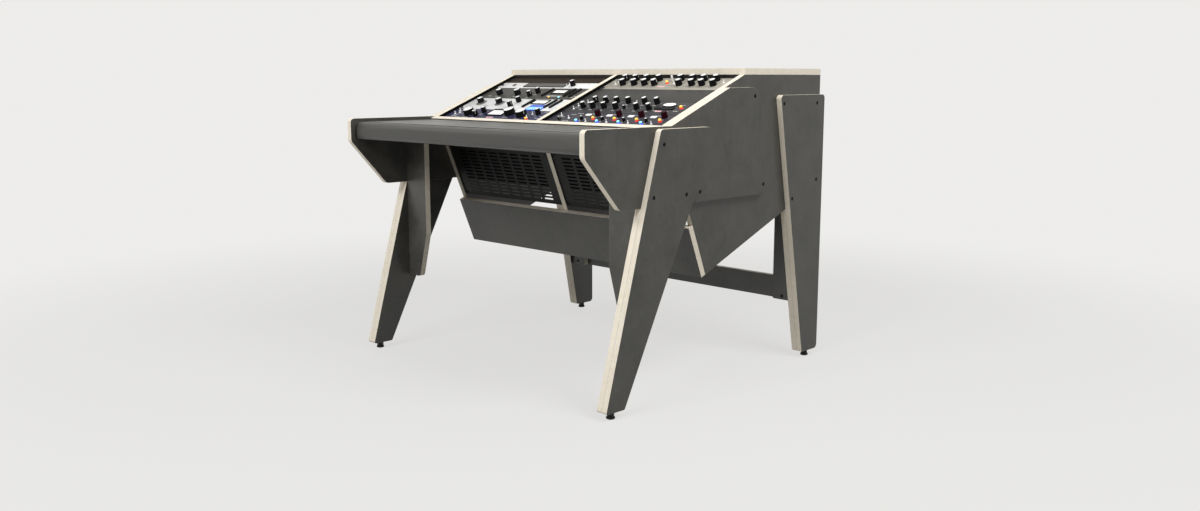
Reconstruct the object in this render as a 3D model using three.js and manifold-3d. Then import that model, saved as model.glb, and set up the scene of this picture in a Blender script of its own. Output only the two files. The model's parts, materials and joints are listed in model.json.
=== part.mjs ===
// A plywood studio desk with two sloped 19-inch rack bays, a padded front edge and four levelling feet.
// Millimetres, +Z up. The user sits at the front, which faces -Y. The origin is on the floor, under
// the middle of the desk.
import * as THREE from 'three';
import { mergeVertices } from 'three/addons/utils/BufferGeometryUtils.js';
import Module from 'manifold-3d';

// Driving dimensions of the boards
const plyThickness = 18;
const glueLine = 0.2;
const fitGap = 0.3;
const deskDepth = 1034;
const edgeRound = 12;
const arcSteps = 6;
const overrun = 2;
const triangleSides = 3;

// Driving dimensions of the rack body, a box turned back by rackTilt
const rackTilt = THREE.MathUtils.degToRad(22);
const rackOpening = 484;
const rackUnitHeight = 44.45;
const unitsPerBay = 8;
const slopeClearance = 2;
const rackBodyDepth = 455;
const slopeFootSetback = 321;

// Driving dimensions of the wing panels, measured back from the nose of the desk and up from the floor
const wingTopHeight = 748;
const noseHeight = 70;
const wingBottomHeight = 539;
const wingChamferRun = 125;
const wingRearTopSetback = 700;
const wingRearBottomSetback = 759;
const wingShoulderRise = 98;
const wingRearRound = 40;
const wingCornerRound = 20;

// Driving dimensions of the legs
const footHeight = 20;
const frontLegTopDrop = 6;
const frontLegTopSetback = 259;
const frontLegTopWidth = 232;
const frontLegFootSetback = 57.5;
const frontLegFootWidth = 69;
const frontLegRearRound = 25;
const rearLegTopRise = 74.5;
const rearLegTopWidth = 229;
const rearLegFootWidth = 82;
const legCornerRound = 14;
const legFootRound = 6;

// Driving dimensions of the gussets, the rear beam and the top shelf
const frontGussetSetback = 204;
const frontGussetWidth = 99;
const frontGussetFootWidth = 58;
const frontGussetBottomHeight = 232;
const frontGussetTaperHeight = 374;
const rearGussetInset = 104;
const rearGussetWidth = 65;
const rearGussetBottomHeight = 182;
const rearGussetTopHeight = 640;
const rearGussetTaper = 14;
const beamHeight = 70;
const shelfSetback = 2;

// Driving dimensions of the desktop and the padded edge
const desktopDrop = 10;
const padNoseSetback = 15;
const padDepth = 30;
const padHeight = 55;
const padShoulderRound = 17;
const padLipRound = 8;
const padCrown = 2;
const padEndRound = 10;
const padBoardInset = 1;

// Driving dimensions of the two slanted boards and the slotted panels between them
const upperBoardHeight = 98;
const lowerBoardTop = 299;
const ventUnits = 4;
const ventBottom = 286;
const ventRecess = 4;
const sheetThickness = 2;
const ventFlangeDepth = 20;
const slotLength = 40;
const slotHeight = 6;
const slotColumns = 8;
const slotColumnPitch = 52;
const slotRows = 13;
const slotRowPitch = 12.1;

// Driving dimensions of the rack rails and of the equipment that they carry
const faceplateSideGap = 0.7;
const faceplateThickness = 3;
const faceplateRecess = 10;
const faceplateGap = 0.8;
const railFaceWidth = 17;
const railSideDepth = 22;
const railHoleWidth = 7;
const railHoleSpacing = 15.875;
const railHoleMiddle = 22.225;
const railHoleInset = 9.45;
const chassisSideGap = 27;
const chassisDepth = 220;
const chassisInset = 1.5;
const blankLipDepth = 12;

// Driving dimensions of the levelling feet
const footPadRadius = 12;
const footPadHeight = 16;
const footEdgeRound = 2;
const footStemRadius = 5;
const footStemEngagement = 24;
const footSides = 16;

// Driving dimensions of the controls
const spindleRadius = 3;
const spindleDepth = 9;
const spindleGap = 0.35;
const knobLift = 0.5;
const knobEdge = 1.2;
const knobTaper = 0.4;
const knobSides = 14;
const fixedKnobSides = 10;
const knobHeight = 19;
const largeKnobRadius = 18;
const mediumKnobRadius = 11.5;
const wideKnobRadius = 10.5;
const smallKnobRadius = 9;
const fineKnobRadius = 5.5;
const fineKnobHeight = 11;
const skirtRadius = 18.5;
const skirtHeight = 4;
const buttonWidth = 20;
const buttonDepth = 10;
const buttonHeight = 4;
const lampRadius = 2.5;
const lampHeight = 2.5;
const lampSides = 6;
const litButtonRadius = 4.2;
const litButtonHeight = 9;
const litButtonEdge = 1;
const litButtonSides = 8;
const dialRadius = 12;
const dialStretch = 2;
const dialHeight = 4;
const dialSides = 24;
const jackRadius = 7.5;
const jackHeight = 2.5;
const jackBore = 3.2;
const jackDepth = 1;
const bezelHeight = 3;
const bezelWidth = 4;
const windowDepth = 1.5;
const barWidth = 9;
const barHeight = 6;
const toggleRadius = 2.5;
const toggleLength = 14;
const toggleBallRadius = 3.4;
const toggleNutRadius = 6;
const toggleNutHeight = 3;
const nutSides = 6;
const toggleSwing = THREE.MathUtils.degToRad(14);

// Places that follow from the driving dimensions
const layerPitch = plyThickness + glueLine;
const dividerSide = plyThickness / 2;
const bayCentre = dividerSide + rackOpening / 2;
const faceplateWidth = rackOpening - 2 * faceplateSideGap;
const chassisWidth = rackOpening - 2 * chassisSideGap;
const rackSideInner = dividerSide + rackOpening;
const wingInner = rackSideInner + layerPitch;
const outerLegInner = wingInner + layerPitch;
const slopeLength = unitsPerBay * rackUnitHeight + slopeClearance;
const slopeRise = slopeLength * Math.sin(rackTilt);
const slopeRun = slopeLength * Math.cos(rackTilt);
const shelfUnderside = wingTopHeight + slopeRise;
const wingShoulderHeight = wingTopHeight + wingShoulderRise;
const rearLegTopHeight = wingTopHeight + rearLegTopRise;
const rearGussetSetback = deskDepth - rearGussetInset;
const deskSurfaceHeight = wingTopHeight - desktopDrop;
const desktopUnderside = deskSurfaceHeight - plyThickness;
const slopeFoot = [slopeFootSetback, wingTopHeight];
const slopeTop = [slopeFootSetback + slopeRun, shelfUnderside];
const rackTip = onRack(0, rackBodyDepth);

const wasm = await Module();
wasm.setup();

const paintedPly = new THREE.MeshStandardMaterial({ color: 0x504f4a, roughness: 0.7, metalness: 0 });
const padVinyl = new THREE.MeshStandardMaterial({ color: 0x4a4843, roughness: 0.55, metalness: 0 });
const blackSteel = new THREE.MeshStandardMaterial({ color: 0x1c1c1d, roughness: 0.5, metalness: 0.6 });
const footRubber = new THREE.MeshStandardMaterial({ color: 0x101010, roughness: 0.8, metalness: 0 });
const knobPlastic = new THREE.MeshStandardMaterial({ color: 0x131313, roughness: 0.45, metalness: 0 });
const redPlastic = new THREE.MeshStandardMaterial({ color: 0x5a1014, roughness: 0.45, metalness: 0 });
const chrome = new THREE.MeshStandardMaterial({ color: 0xc8c8c8, roughness: 0.2, metalness: 1 });

// The desk, and in it the rack body: local Y runs up the slope and local Z stands out of it
const desk = new THREE.Group();
const rack = new THREE.Group();
rack.position.set(0, slopeFootSetback - deskDepth / 2, wingTopHeight);
rack.rotation.x = rackTilt;
desk.add(rack);

function addMesh(parent, name, geometry, material) {
  const mesh = new THREE.Mesh(geometry, material.clone());
  mesh.name = name;
  parent.add(mesh);
  return mesh;
}

function withSide(name, side) {
  return `${name}_${side < 0 ? 'left' : 'right'}`;
}

// A point of the turned rack body as setback and height, from its place up the slope and its depth below it
function onRack(alongSlope, depth) {
  return [
    slopeFootSetback + alongSlope * Math.cos(rackTilt) + depth * Math.sin(rackTilt),
    wingTopHeight + alongSlope * Math.sin(rackTilt) - depth * Math.cos(rackTilt),
  ];
}

// Where the straight line through two points reaches a height
function setbackAtHeight([fromSetback, fromHeight], [toSetback, toHeight], height) {
  return fromSetback + (toSetback - fromSetback) * (height - fromHeight) / (toHeight - fromHeight);
}

// A closed outline of [across, up, corner radius], with an arc on each corner that has a radius
function roundedShape(corners) {
  const shape = new THREE.Shape();
  corners.forEach(([across, up, radius = 0], index) => {
    if (radius === 0) {
      if (index === 0) shape.moveTo(across, up);
      else shape.lineTo(across, up);
      return;
    }
    const here = new THREE.Vector2(across, up);
    const [beforeAcross, beforeUp] = corners.at(index - 1);
    const [afterAcross, afterUp] = corners[(index + 1) % corners.length];
    const back = new THREE.Vector2(beforeAcross, beforeUp).sub(here).normalize();
    const ahead = new THREE.Vector2(afterAcross, afterUp).sub(here).normalize();
    const halfAngle = Math.acos(back.dot(ahead)) / 2;
    const middle = back.clone().add(ahead).normalize();
    const centre = here.clone().addScaledVector(middle, radius / Math.sin(halfAngle));
    const reach = radius / Math.tan(halfAngle);
    const start = here.clone().addScaledVector(back, reach);
    const end = here.clone().addScaledVector(ahead, reach);
    if (index > 0) shape.lineTo(start.x, start.y);
    const isClockwise = back.cross(ahead) > 0;
    shape.absarc(centre.x, centre.y, radius, start.sub(centre).angle(), end.sub(centre).angle(), isClockwise);
  });
  shape.closePath();
  return shape;
}

// Turns what is drawn as setback and height and extruded along Z so that it stands along X
function standAlongX(geometry) {
  const alongY = new THREE.Vector3(0, 1, 0);
  const alongZ = new THREE.Vector3(0, 0, 1);
  const alongX = new THREE.Vector3(1, 0, 0);
  geometry.applyMatrix4(new THREE.Matrix4().makeBasis(alongY, alongZ, alongX));
  return geometry.translate(0, -deskDepth / 2, 0);
}

// A board whose outline is [setback, height, corner radius], its inner face so far from the middle
function sideBoard(corners, inner, side) {
  const geometry = new THREE.ExtrudeGeometry(roundedShape(corners), {
    depth: plyThickness, bevelEnabled: false, curveSegments: arcSteps,
  });
  return standAlongX(geometry).translate(side < 0 ? -inner - plyThickness : inner, 0, 0);
}

// A board whose outline is [across, height, corner radius], with its front face at a setback
function crossBoard(corners, frontSetback) {
  const geometry = new THREE.ExtrudeGeometry(roundedShape(corners), {
    depth: plyThickness, bevelEnabled: false, curveSegments: arcSteps,
  });
  geometry.rotateX(Math.PI / 2);
  return geometry.translate(0, frontSetback + plyThickness - deskDepth / 2, 0);
}

// A box between two corners
function block(minimum, maximum) {
  const size = maximum.map((value, axis) => value - minimum[axis]);
  const geometry = new THREE.BoxGeometry(...size);
  return geometry.translate(...minimum.map((value, axis) => value + size[axis] / 2));
}

// A piece turned about Z from a profile of [radius, height]
function turned(profile, sides) {
  const geometry = new THREE.LatheGeometry(profile.map((point) => new THREE.Vector2(...point)), sides);
  return geometry.rotateX(Math.PI / 2);
}

function solidOf(geometry) {
  const bare = geometry.clone();
  bare.deleteAttribute('normal');
  bare.deleteAttribute('uv');
  const merged = mergeVertices(bare);
  const corners = merged.index.array;
  const triangles = [];
  for (let at = 0; at < corners.length; at += triangleSides) {
    const triangle = corners.slice(at, at + triangleSides);
    if (new Set(triangle).size === triangle.length) triangles.push(...triangle);
  }
  return new wasm.Manifold(new wasm.Mesh({
    numProp: 3,
    vertProperties: Float32Array.from(merged.attributes.position.array),
    triVerts: Uint32Array.from(triangles),
  }));
}

function geometryOf(solid) {
  const mesh = solid.getMesh();
  const geometry = new THREE.BufferGeometry();
  geometry.setAttribute('position', new THREE.BufferAttribute(mesh.vertProperties, mesh.numProp));
  geometry.setIndex(new THREE.BufferAttribute(mesh.triVerts, 1));
  const flat = geometry.toNonIndexed();
  flat.computeVertexNormals();
  return flat;
}

function carve(geometry, cutters) {
  return geometryOf(cutters.reduce((solid, cutter) => solid.subtract(solidOf(cutter)), solidOf(geometry)));
}

function common(first, second) {
  return geometryOf(solidOf(first).intersect(solidOf(second)));
}

function fuse([first, ...others]) {
  return geometryOf(others.reduce((solid, piece) => solid.add(solidOf(piece)), solidOf(first)));
}

// Rack body: two side panels and a divider of one outline
function rackBodyOutline() {
  const rackTop = shelfUnderside - glueLine;
  const [tipSetback, tipHeight] = rackTip;
  return [
    slopeFoot,
    rackTip,
    [deskDepth, tipHeight + (deskDepth - tipSetback) * Math.tan(rackTilt)],
    [deskDepth, rackTop],
    [setbackAtHeight(slopeFoot, slopeTop, rackTop), rackTop],
  ];
}

// Wing panel: the side of the desktop, which runs back up the slope to its shoulder
function wingOutline() {
  return [
    [0, wingTopHeight, edgeRound],
    [0, wingTopHeight - noseHeight, wingCornerRound],
    [wingChamferRun, wingBottomHeight, wingCornerRound],
    [wingRearBottomSetback, wingBottomHeight, wingRearRound],
    [wingRearTopSetback, wingShoulderHeight, wingRearRound],
    [setbackAtHeight(slopeFoot, slopeTop, wingShoulderHeight), wingShoulderHeight],
    slopeFoot,
  ];
}

const frontLegTop = wingTopHeight - frontLegTopDrop;
const frontLegFront = [[frontLegTopSetback, frontLegTop], [frontLegFootSetback, footHeight]];
const frontLegRear = [
  [frontLegTopSetback + frontLegTopWidth, frontLegTop],
  [frontLegFootSetback + frontLegFootWidth, footHeight],
];
const rearLegFront = [
  [deskDepth - rearLegTopWidth, rearLegTopHeight],
  [deskDepth - rearLegFootWidth, footHeight],
];

function frontLegOuterOutline() {
  const [frontTop, frontFoot] = frontLegFront;
  const [rearTop, rearFoot] = frontLegRear;
  return [
    [...frontTop, edgeRound],
    [...frontFoot, legFootRound],
    [...rearFoot, legFootRound],
    [...rearTop, frontLegRearRound],
  ];
}

// The inner layer of the front leg fills it below the wing panel
function frontLegInnerOutline() {
  const top = wingBottomHeight - glueLine;
  return [
    [setbackAtHeight(...frontLegFront, top), top],
    [...frontLegFront[1], legFootRound],
    [...frontLegRear[1], legFootRound],
    [setbackAtHeight(...frontLegRear, top), top],
  ];
}

function rearLegOuterOutline() {
  const [frontTop, frontFoot] = rearLegFront;
  return [
    [...frontTop, edgeRound],
    [...frontFoot, legFootRound],
    [deskDepth, footHeight, legCornerRound],
    [deskDepth, rearLegTopHeight, edgeRound],
  ];
}

// The inner layer of the rear leg fills it below the slanted underside of the rack side
function rearLegInnerOutline() {
  const [tipSetback, tipHeight] = rackTip;
  const [[topSetback, topHeight], [footSetback]] = rearLegFront;
  const rise = Math.tan(rackTilt);
  const lean = (footSetback - topSetback) / (topHeight - footHeight);
  const seamAtTip = tipHeight - glueLine / Math.cos(rackTilt);
  const frontHeight = (seamAtTip + rise * (topSetback + lean * topHeight - tipSetback)) / (1 + rise * lean);
  return [
    [setbackAtHeight(...rearLegFront, frontHeight), frontHeight],
    [...rearLegFront[1], legFootRound],
    [deskDepth, footHeight, legCornerRound],
    [deskDepth, seamAtTip + rise * (deskDepth - tipSetback)],
  ];
}

// Each foot's stem runs up the seam between the two layers of its leg
const seams = {
  front: { across: outerLegInner - glueLine / 2, setback: frontLegFootSetback + frontLegFootWidth / 2 },
  rear: { across: wingInner - glueLine / 2, setback: deskDepth - rearLegFootWidth / 2 },
};

function bored(geometry, side, seam) {
  const radius = footStemRadius + fitGap;
  const boreTop = footHeight + footStemEngagement + fitGap;
  const bore = turned([
    [0, footHeight - overrun], [radius, footHeight - overrun], [radius, boreTop], [0, boreTop],
  ], footSides);
  bore.translate(side * seam.across, seam.setback - deskDepth / 2, 0);
  return carve(geometry, [bore]);
}

// Levelling foot: a round pad on a threaded stem
function footGeometry() {
  return turned([
    [0, 0],
    [footPadRadius - footEdgeRound, 0],
    [footPadRadius, footEdgeRound],
    [footPadRadius, footPadHeight - footEdgeRound / 2],
    [footPadRadius - footEdgeRound / 2, footPadHeight],
    [footStemRadius, footPadHeight],
    [footStemRadius, footHeight + footStemEngagement],
    [0, footHeight + footStemEngagement],
  ], footSides);
}

function frontGussetOutline(side) {
  const outer = side * (wingInner - glueLine);
  const inner = side * (wingInner - frontGussetWidth);
  const foot = side * (wingInner - frontGussetFootWidth);
  return [
    [outer, frontGussetBottomHeight],
    [foot, frontGussetBottomHeight, legCornerRound],
    [inner, frontGussetTaperHeight, legCornerRound],
    [inner, desktopUnderside - glueLine],
    [outer, desktopUnderside - glueLine],
  ];
}

function rearGussetOutline(side) {
  const outer = side * (rackSideInner - glueLine);
  const inner = side * (rackSideInner - rearGussetWidth);
  return [
    [outer, rearGussetBottomHeight],
    [inner, rearGussetBottomHeight, legFootRound],
    [inner, rearGussetTopHeight - rearGussetTaper],
    [inner + side * rearGussetTaper, rearGussetTopHeight],
    [outer, rearGussetTopHeight],
  ];
}

function addSide(side) {
  const addBoard = (name, geometry) => addMesh(desk, withSide(name, side), geometry, paintedPly);
  const addBoredBoard = (name, corners, inner, seam) => {
    addBoard(name, bored(sideBoard(corners, inner, side), side, seam));
  };
  addBoard('rack_side', sideBoard(rackBodyOutline(), rackSideInner, side));
  addBoard('wing_panel', sideBoard(wingOutline(), wingInner, side));
  addBoredBoard('front_leg_outer', frontLegOuterOutline(), outerLegInner, seams.front);
  addBoredBoard('front_leg_inner', frontLegInnerOutline(), wingInner, seams.front);
  addBoredBoard('rear_leg_outer', rearLegOuterOutline(), wingInner, seams.rear);
  addBoredBoard('rear_leg_inner', rearLegInnerOutline(), rackSideInner, seams.rear);
  addBoard('front_gusset', crossBoard(frontGussetOutline(side), frontGussetSetback));
  addBoard('rear_gusset', crossBoard(rearGussetOutline(side), rearGussetSetback));
  for (const [end, seam] of Object.entries(seams)) {
    const foot = addMesh(desk, withSide(`${end}_levelling_foot`, side), footGeometry(), footRubber);
    foot.position.set(side * seam.across, seam.setback - deskDepth / 2, 0);
  }
}
addSide(-1);
addSide(1);
addMesh(desk, 'rack_divider', sideBoard(rackBodyOutline(), -dividerSide, 1), paintedPly);

// Rear beam behind the two rear gussets
function addRearBeam() {
  const half = rackSideInner - glueLine;
  const bottom = rearGussetBottomHeight;
  const top = bottom + beamHeight;
  const outline = [[-half, bottom], [half, bottom], [half, top], [-half, top]];
  addMesh(desk, 'rear_beam', crossBoard(outline, rearGussetSetback + layerPitch), paintedPly);
}
addRearBeam();

// Top shelf over the rack sides
function addTopShelf() {
  const half = wingInner - glueLine;
  const front = slopeFootSetback + slopeRun + shelfSetback - deskDepth / 2;
  addMesh(desk, 'top_shelf', block(
    [-half, front, shelfUnderside],
    [half, deskDepth / 2, shelfUnderside + plyThickness]), paintedPly);
}
addTopShelf();

// Slanted boards over the front ends of the rack sides and the divider
function addSlantedBoard(name, upperDepth, lowerDepth) {
  const half = wingInner - glueLine;
  addMesh(rack, name, block([-half, -layerPitch, -lowerDepth], [half, -glueLine, -upperDepth]), paintedPly);
}
addSlantedBoard('upper_front_board', 0, upperBoardHeight);
addSlantedBoard('lower_front_board', lowerBoardTop, rackBodyDepth);

// Desktop between the wings, from the padded edge back to the front corner of the upper slanted board
const padRear = padNoseSetback + padDepth;
function addDesktop() {
  const half = wingInner - fitGap;
  const [boardSetback] = onRack(-layerPitch, 0);
  const rear = boardSetback - fitGap;
  addMesh(desk, 'desktop', block(
    [-half, padRear + fitGap - deskDepth / 2, desktopUnderside],
    [half, rear - deskDepth / 2, deskSurfaceHeight]), paintedPly);
}
addDesktop();

// The side profile of the padded edge: a round shoulder, a crowned front and a tucked lip
function padProfile() {
  const bottom = deskSurfaceHeight - padHeight;
  const shoulder = deskSurfaceHeight - padShoulderRound;
  const lip = bottom + padLipRound;
  const face = padNoseSetback + padCrown;
  const outline = new THREE.Shape();
  outline.absarc(face + padShoulderRound, shoulder, padShoulderRound, Math.PI / 2, Math.PI, false);
  outline.quadraticCurveTo(padNoseSetback - padCrown, (shoulder + lip) / 2, face, lip);
  outline.absarc(face + padLipRound, lip, padLipRound, Math.PI, Math.PI + Math.PI / 2, false);
  outline.lineTo(padRear, bottom);
  outline.lineTo(padRear, deskSurfaceHeight);
  outline.closePath();
  return outline;
}

// The padded edge is drawn in to a round corner at each end
function padGeometry() {
  const half = wingInner - fitGap;
  const long = new THREE.ExtrudeGeometry(padProfile(), {
    depth: 2 * half, bevelEnabled: false, curveSegments: arcSteps,
  });
  const front = padNoseSetback - deskDepth / 2;
  const rear = padRear - deskDepth / 2;
  const plan = roundedShape([
    [-half, rear], [-half, front, padEndRound], [half, front, padEndRound], [half, rear],
  ]);
  const tall = new THREE.ExtrudeGeometry(plan, {
    depth: deskSurfaceHeight, bevelEnabled: false, curveSegments: arcSteps,
  });
  return common(standAlongX(long).translate(-half, 0, 0), tall);
}
addMesh(desk, 'armrest_pad', padGeometry(), padVinyl);

// The board that backs the padded edge and hangs under the front of the desktop
function addPadBoard() {
  const half = wingInner - fitGap;
  const front = padRear + fitGap - deskDepth / 2;
  addMesh(desk, 'armrest_backing_board', block(
    [-half, front, deskSurfaceHeight - padHeight + padBoardInset],
    [half, front + plyThickness, desktopUnderside - glueLine]), paintedPly);
}
addPadBoard();

// Slotted sheet panel with a folded flange at each end
function ventGeometry() {
  const half = rackOpening / 2 - fitGap;
  const height = ventUnits * rackUnitHeight;
  const inner = ventRecess + sheetThickness;
  const sheet = block([-half, ventRecess, 0], [half, inner, height]);
  const flanges = [
    block([-half, ventRecess, 0], [sheetThickness - half, ventRecess + ventFlangeDepth, height]),
    block([half - sheetThickness, ventRecess, 0], [half, ventRecess + ventFlangeDepth, height]),
  ];
  const left = -((slotColumns - 1) * slotColumnPitch + slotLength) / 2;
  const bottom = (height - (slotRows - 1) * slotRowPitch - slotHeight) / 2;
  const slots = [];
  for (let column = 0; column < slotColumns; column += 1) {
    for (let row = 0; row < slotRows; row += 1) {
      const across = left + column * slotColumnPitch;
      const up = bottom + row * slotRowPitch;
      slots.push(block(
        [across, ventRecess - overrun, up],
        [across + slotLength, inner + overrun, up + slotHeight]));
    }
  }
  return carve(fuse([sheet, ...flanges]), slots).translate(0, 0, -ventBottom);
}

// Rack rail: a steel angle with three square holes to a unit, its corner at the panel that carries it
function railGeometry(end) {
  const wall = rackOpening / 2 - glueLine;
  const top = -faceplateRecess - faceplateThickness - fitGap;
  const length = unitsPerBay * rackUnitHeight;
  const face = block([wall - railFaceWidth, 0, top - sheetThickness], [wall, length, top]);
  const upright = block([wall - sheetThickness, 0, top - railSideDepth], [wall, length, top]);
  const across = rackOpening / 2 - railHoleInset;
  const halfHole = railHoleWidth / 2;
  const holes = [];
  for (let unit = 0; unit < unitsPerBay; unit += 1) {
    for (const step of [-1, 0, 1]) {
      const along = unit * rackUnitHeight + railHoleMiddle + step * railHoleSpacing;
      holes.push(block(
        [across - halfHole, along - halfHole, top - sheetThickness - overrun],
        [across + halfHole, along + halfHole, top + overrun]));
    }
  }
  const rail = carve(fuse([face, upright]), holes);
  return end < 0 ? rail.rotateZ(Math.PI).translate(0, length, 0) : rail;
}

function addBay(side) {
  const vent = addMesh(rack, withSide('vent_panel', side), ventGeometry(), blackSteel);
  vent.position.x = side * bayCentre;
  for (const end of [-1, 1]) {
    const place = end === side ? 'outer' : 'inner';
    const rail = addMesh(rack, withSide(`rack_rail_${place}`, side), railGeometry(end), blackSteel);
    rail.position.x = side * bayCentre;
  }
}
addBay(-1);
addBay(1);

// The pieces of the equipment are drawn on the front of the faceplate, where Z is zero and stands outwards
const rooted = -faceplateThickness / 2;

// A knob that is one piece with the faceplate
function fixedKnob(radius, height) {
  return turned([
    [0, rooted], [radius, rooted], [radius - knobTaper, height - knobEdge],
    [radius - knobTaper - knobEdge, height], [0, height],
  ], fixedKnobSides);
}

// A knob that turns on a spindle in the faceplate, with or without a skirt
function spindleKnob(radius, skirt = 0) {
  const foot = skirt > 0
    ? [
      [skirt, knobLift],
      [skirt - knobEdge, knobLift + skirtHeight / 2],
      [radius, knobLift + skirtHeight],
    ]
    : [[radius, knobLift]];
  return turned([
    [0, -spindleDepth],
    [spindleRadius, -spindleDepth],
    [spindleRadius, knobLift],
    ...foot,
    [radius - knobTaper, knobHeight - knobEdge],
    [radius - knobTaper - knobEdge, knobHeight],
    [0, knobHeight],
  ], knobSides);
}

function spindleHole() {
  const radius = spindleRadius + spindleGap;
  const bottom = -spindleDepth - spindleGap;
  return turned([[0, bottom], [radius, bottom], [radius, overrun], [0, overrun]], knobSides);
}

function button() {
  return block(
    [-buttonWidth / 2, -buttonDepth / 2, rooted],
    [buttonWidth / 2, buttonDepth / 2, buttonHeight]);
}

function lamp() {
  return turned([
    [0, rooted],
    [lampRadius, rooted],
    [lampRadius, lampHeight / 2],
    [lampRadius / 2, lampHeight],
    [0, lampHeight],
  ], lampSides);
}

// A tall button that lights up
function litButton() {
  return turned([
    [0, rooted],
    [litButtonRadius, rooted],
    [litButtonRadius, litButtonHeight - litButtonEdge],
    [litButtonRadius - litButtonEdge, litButtonHeight],
    [0, litButtonHeight],
  ], litButtonSides);
}

// An oval meter, low on the faceplate and wider than it is tall
function dial() {
  return turned([
    [0, rooted], [dialRadius, rooted], [dialRadius - knobEdge, dialHeight], [0, dialHeight],
  ], dialSides).scale(dialStretch, 1, 1);
}

// A round socket with a shallow mouth
function jack() {
  return turned([
    [0, rooted],
    [jackRadius, rooted],
    [jackRadius, jackHeight],
    [jackBore, jackHeight],
    [jackBore, jackDepth],
    [0, jackDepth],
  ], knobSides);
}

// A meter or display: a raised bezel round a sunken window
function meter(width, height) {
  const halfWidth = width / 2;
  const halfHeight = height / 2;
  const bezel = block([-halfWidth, -halfHeight, rooted], [halfWidth, halfHeight, bezelHeight]);
  const opening = block(
    [bezelWidth - halfWidth, bezelWidth - halfHeight, bezelHeight - windowDepth],
    [halfWidth - bezelWidth, halfHeight - bezelWidth, bezelHeight + overrun]);
  return carve(bezel, [opening]);
}

function bar(length) {
  return block([-barWidth / 2, -length / 2, rooted], [barWidth / 2, length / 2, barHeight]);
}

function toggleNut() {
  return turned([
    [0, rooted], [toggleNutRadius, rooted], [toggleNutRadius, toggleNutHeight], [0, toggleNutHeight],
  ], nutSides);
}

// The mouth round the lever widens both ways from its pivot, so that the lever can swing
function toggleMouth() {
  const waist = toggleRadius / Math.cos(toggleSwing) + fitGap;
  const widened = (distance) => waist + distance * Math.tan(toggleSwing);
  const top = toggleNutHeight + overrun;
  const bottom = -spindleDepth;
  return turned([
    [0, bottom], [widened(spindleDepth), bottom], [waist, 0], [widened(top), top], [0, top],
  ], knobSides);
}

function toggleLever() {
  return turned([
    [0, -spindleDepth / 2],
    [toggleRadius, -spindleDepth / 2],
    [toggleRadius, toggleLength - toggleBallRadius],
    [toggleBallRadius, toggleLength],
    [toggleRadius, toggleLength + toggleRadius],
    [0, toggleLength + toggleRadius],
  ], fixedKnobSides);
}

const turningShapes = {
  large: () => spindleKnob(largeKnobRadius),
  skirted: () => spindleKnob(mediumKnobRadius, skirtRadius),
  medium: () => spindleKnob(mediumKnobRadius),
  small: () => spindleKnob(smallKnobRadius),
  toggle: () => toggleLever(),
};
const fixedShapes = {
  knob: () => fixedKnob(smallKnobRadius, knobHeight),
  wideKnob: () => fixedKnob(wideKnobRadius, knobHeight),
  fineKnob: () => fixedKnob(fineKnobRadius, fineKnobHeight),
  button: () => button(),
  lamp: () => lamp(),
  litButton: () => litButton(),
  dial: () => dial(),
  jack: () => jack(),
  toggleNut: () => toggleNut(),
};

// Like controls in a row, at one height share
function alongRow(shape, upShare, acrossShares) {
  return acrossShares.map((acrossShare) => [shape, acrossShare, upShare]);
}

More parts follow.
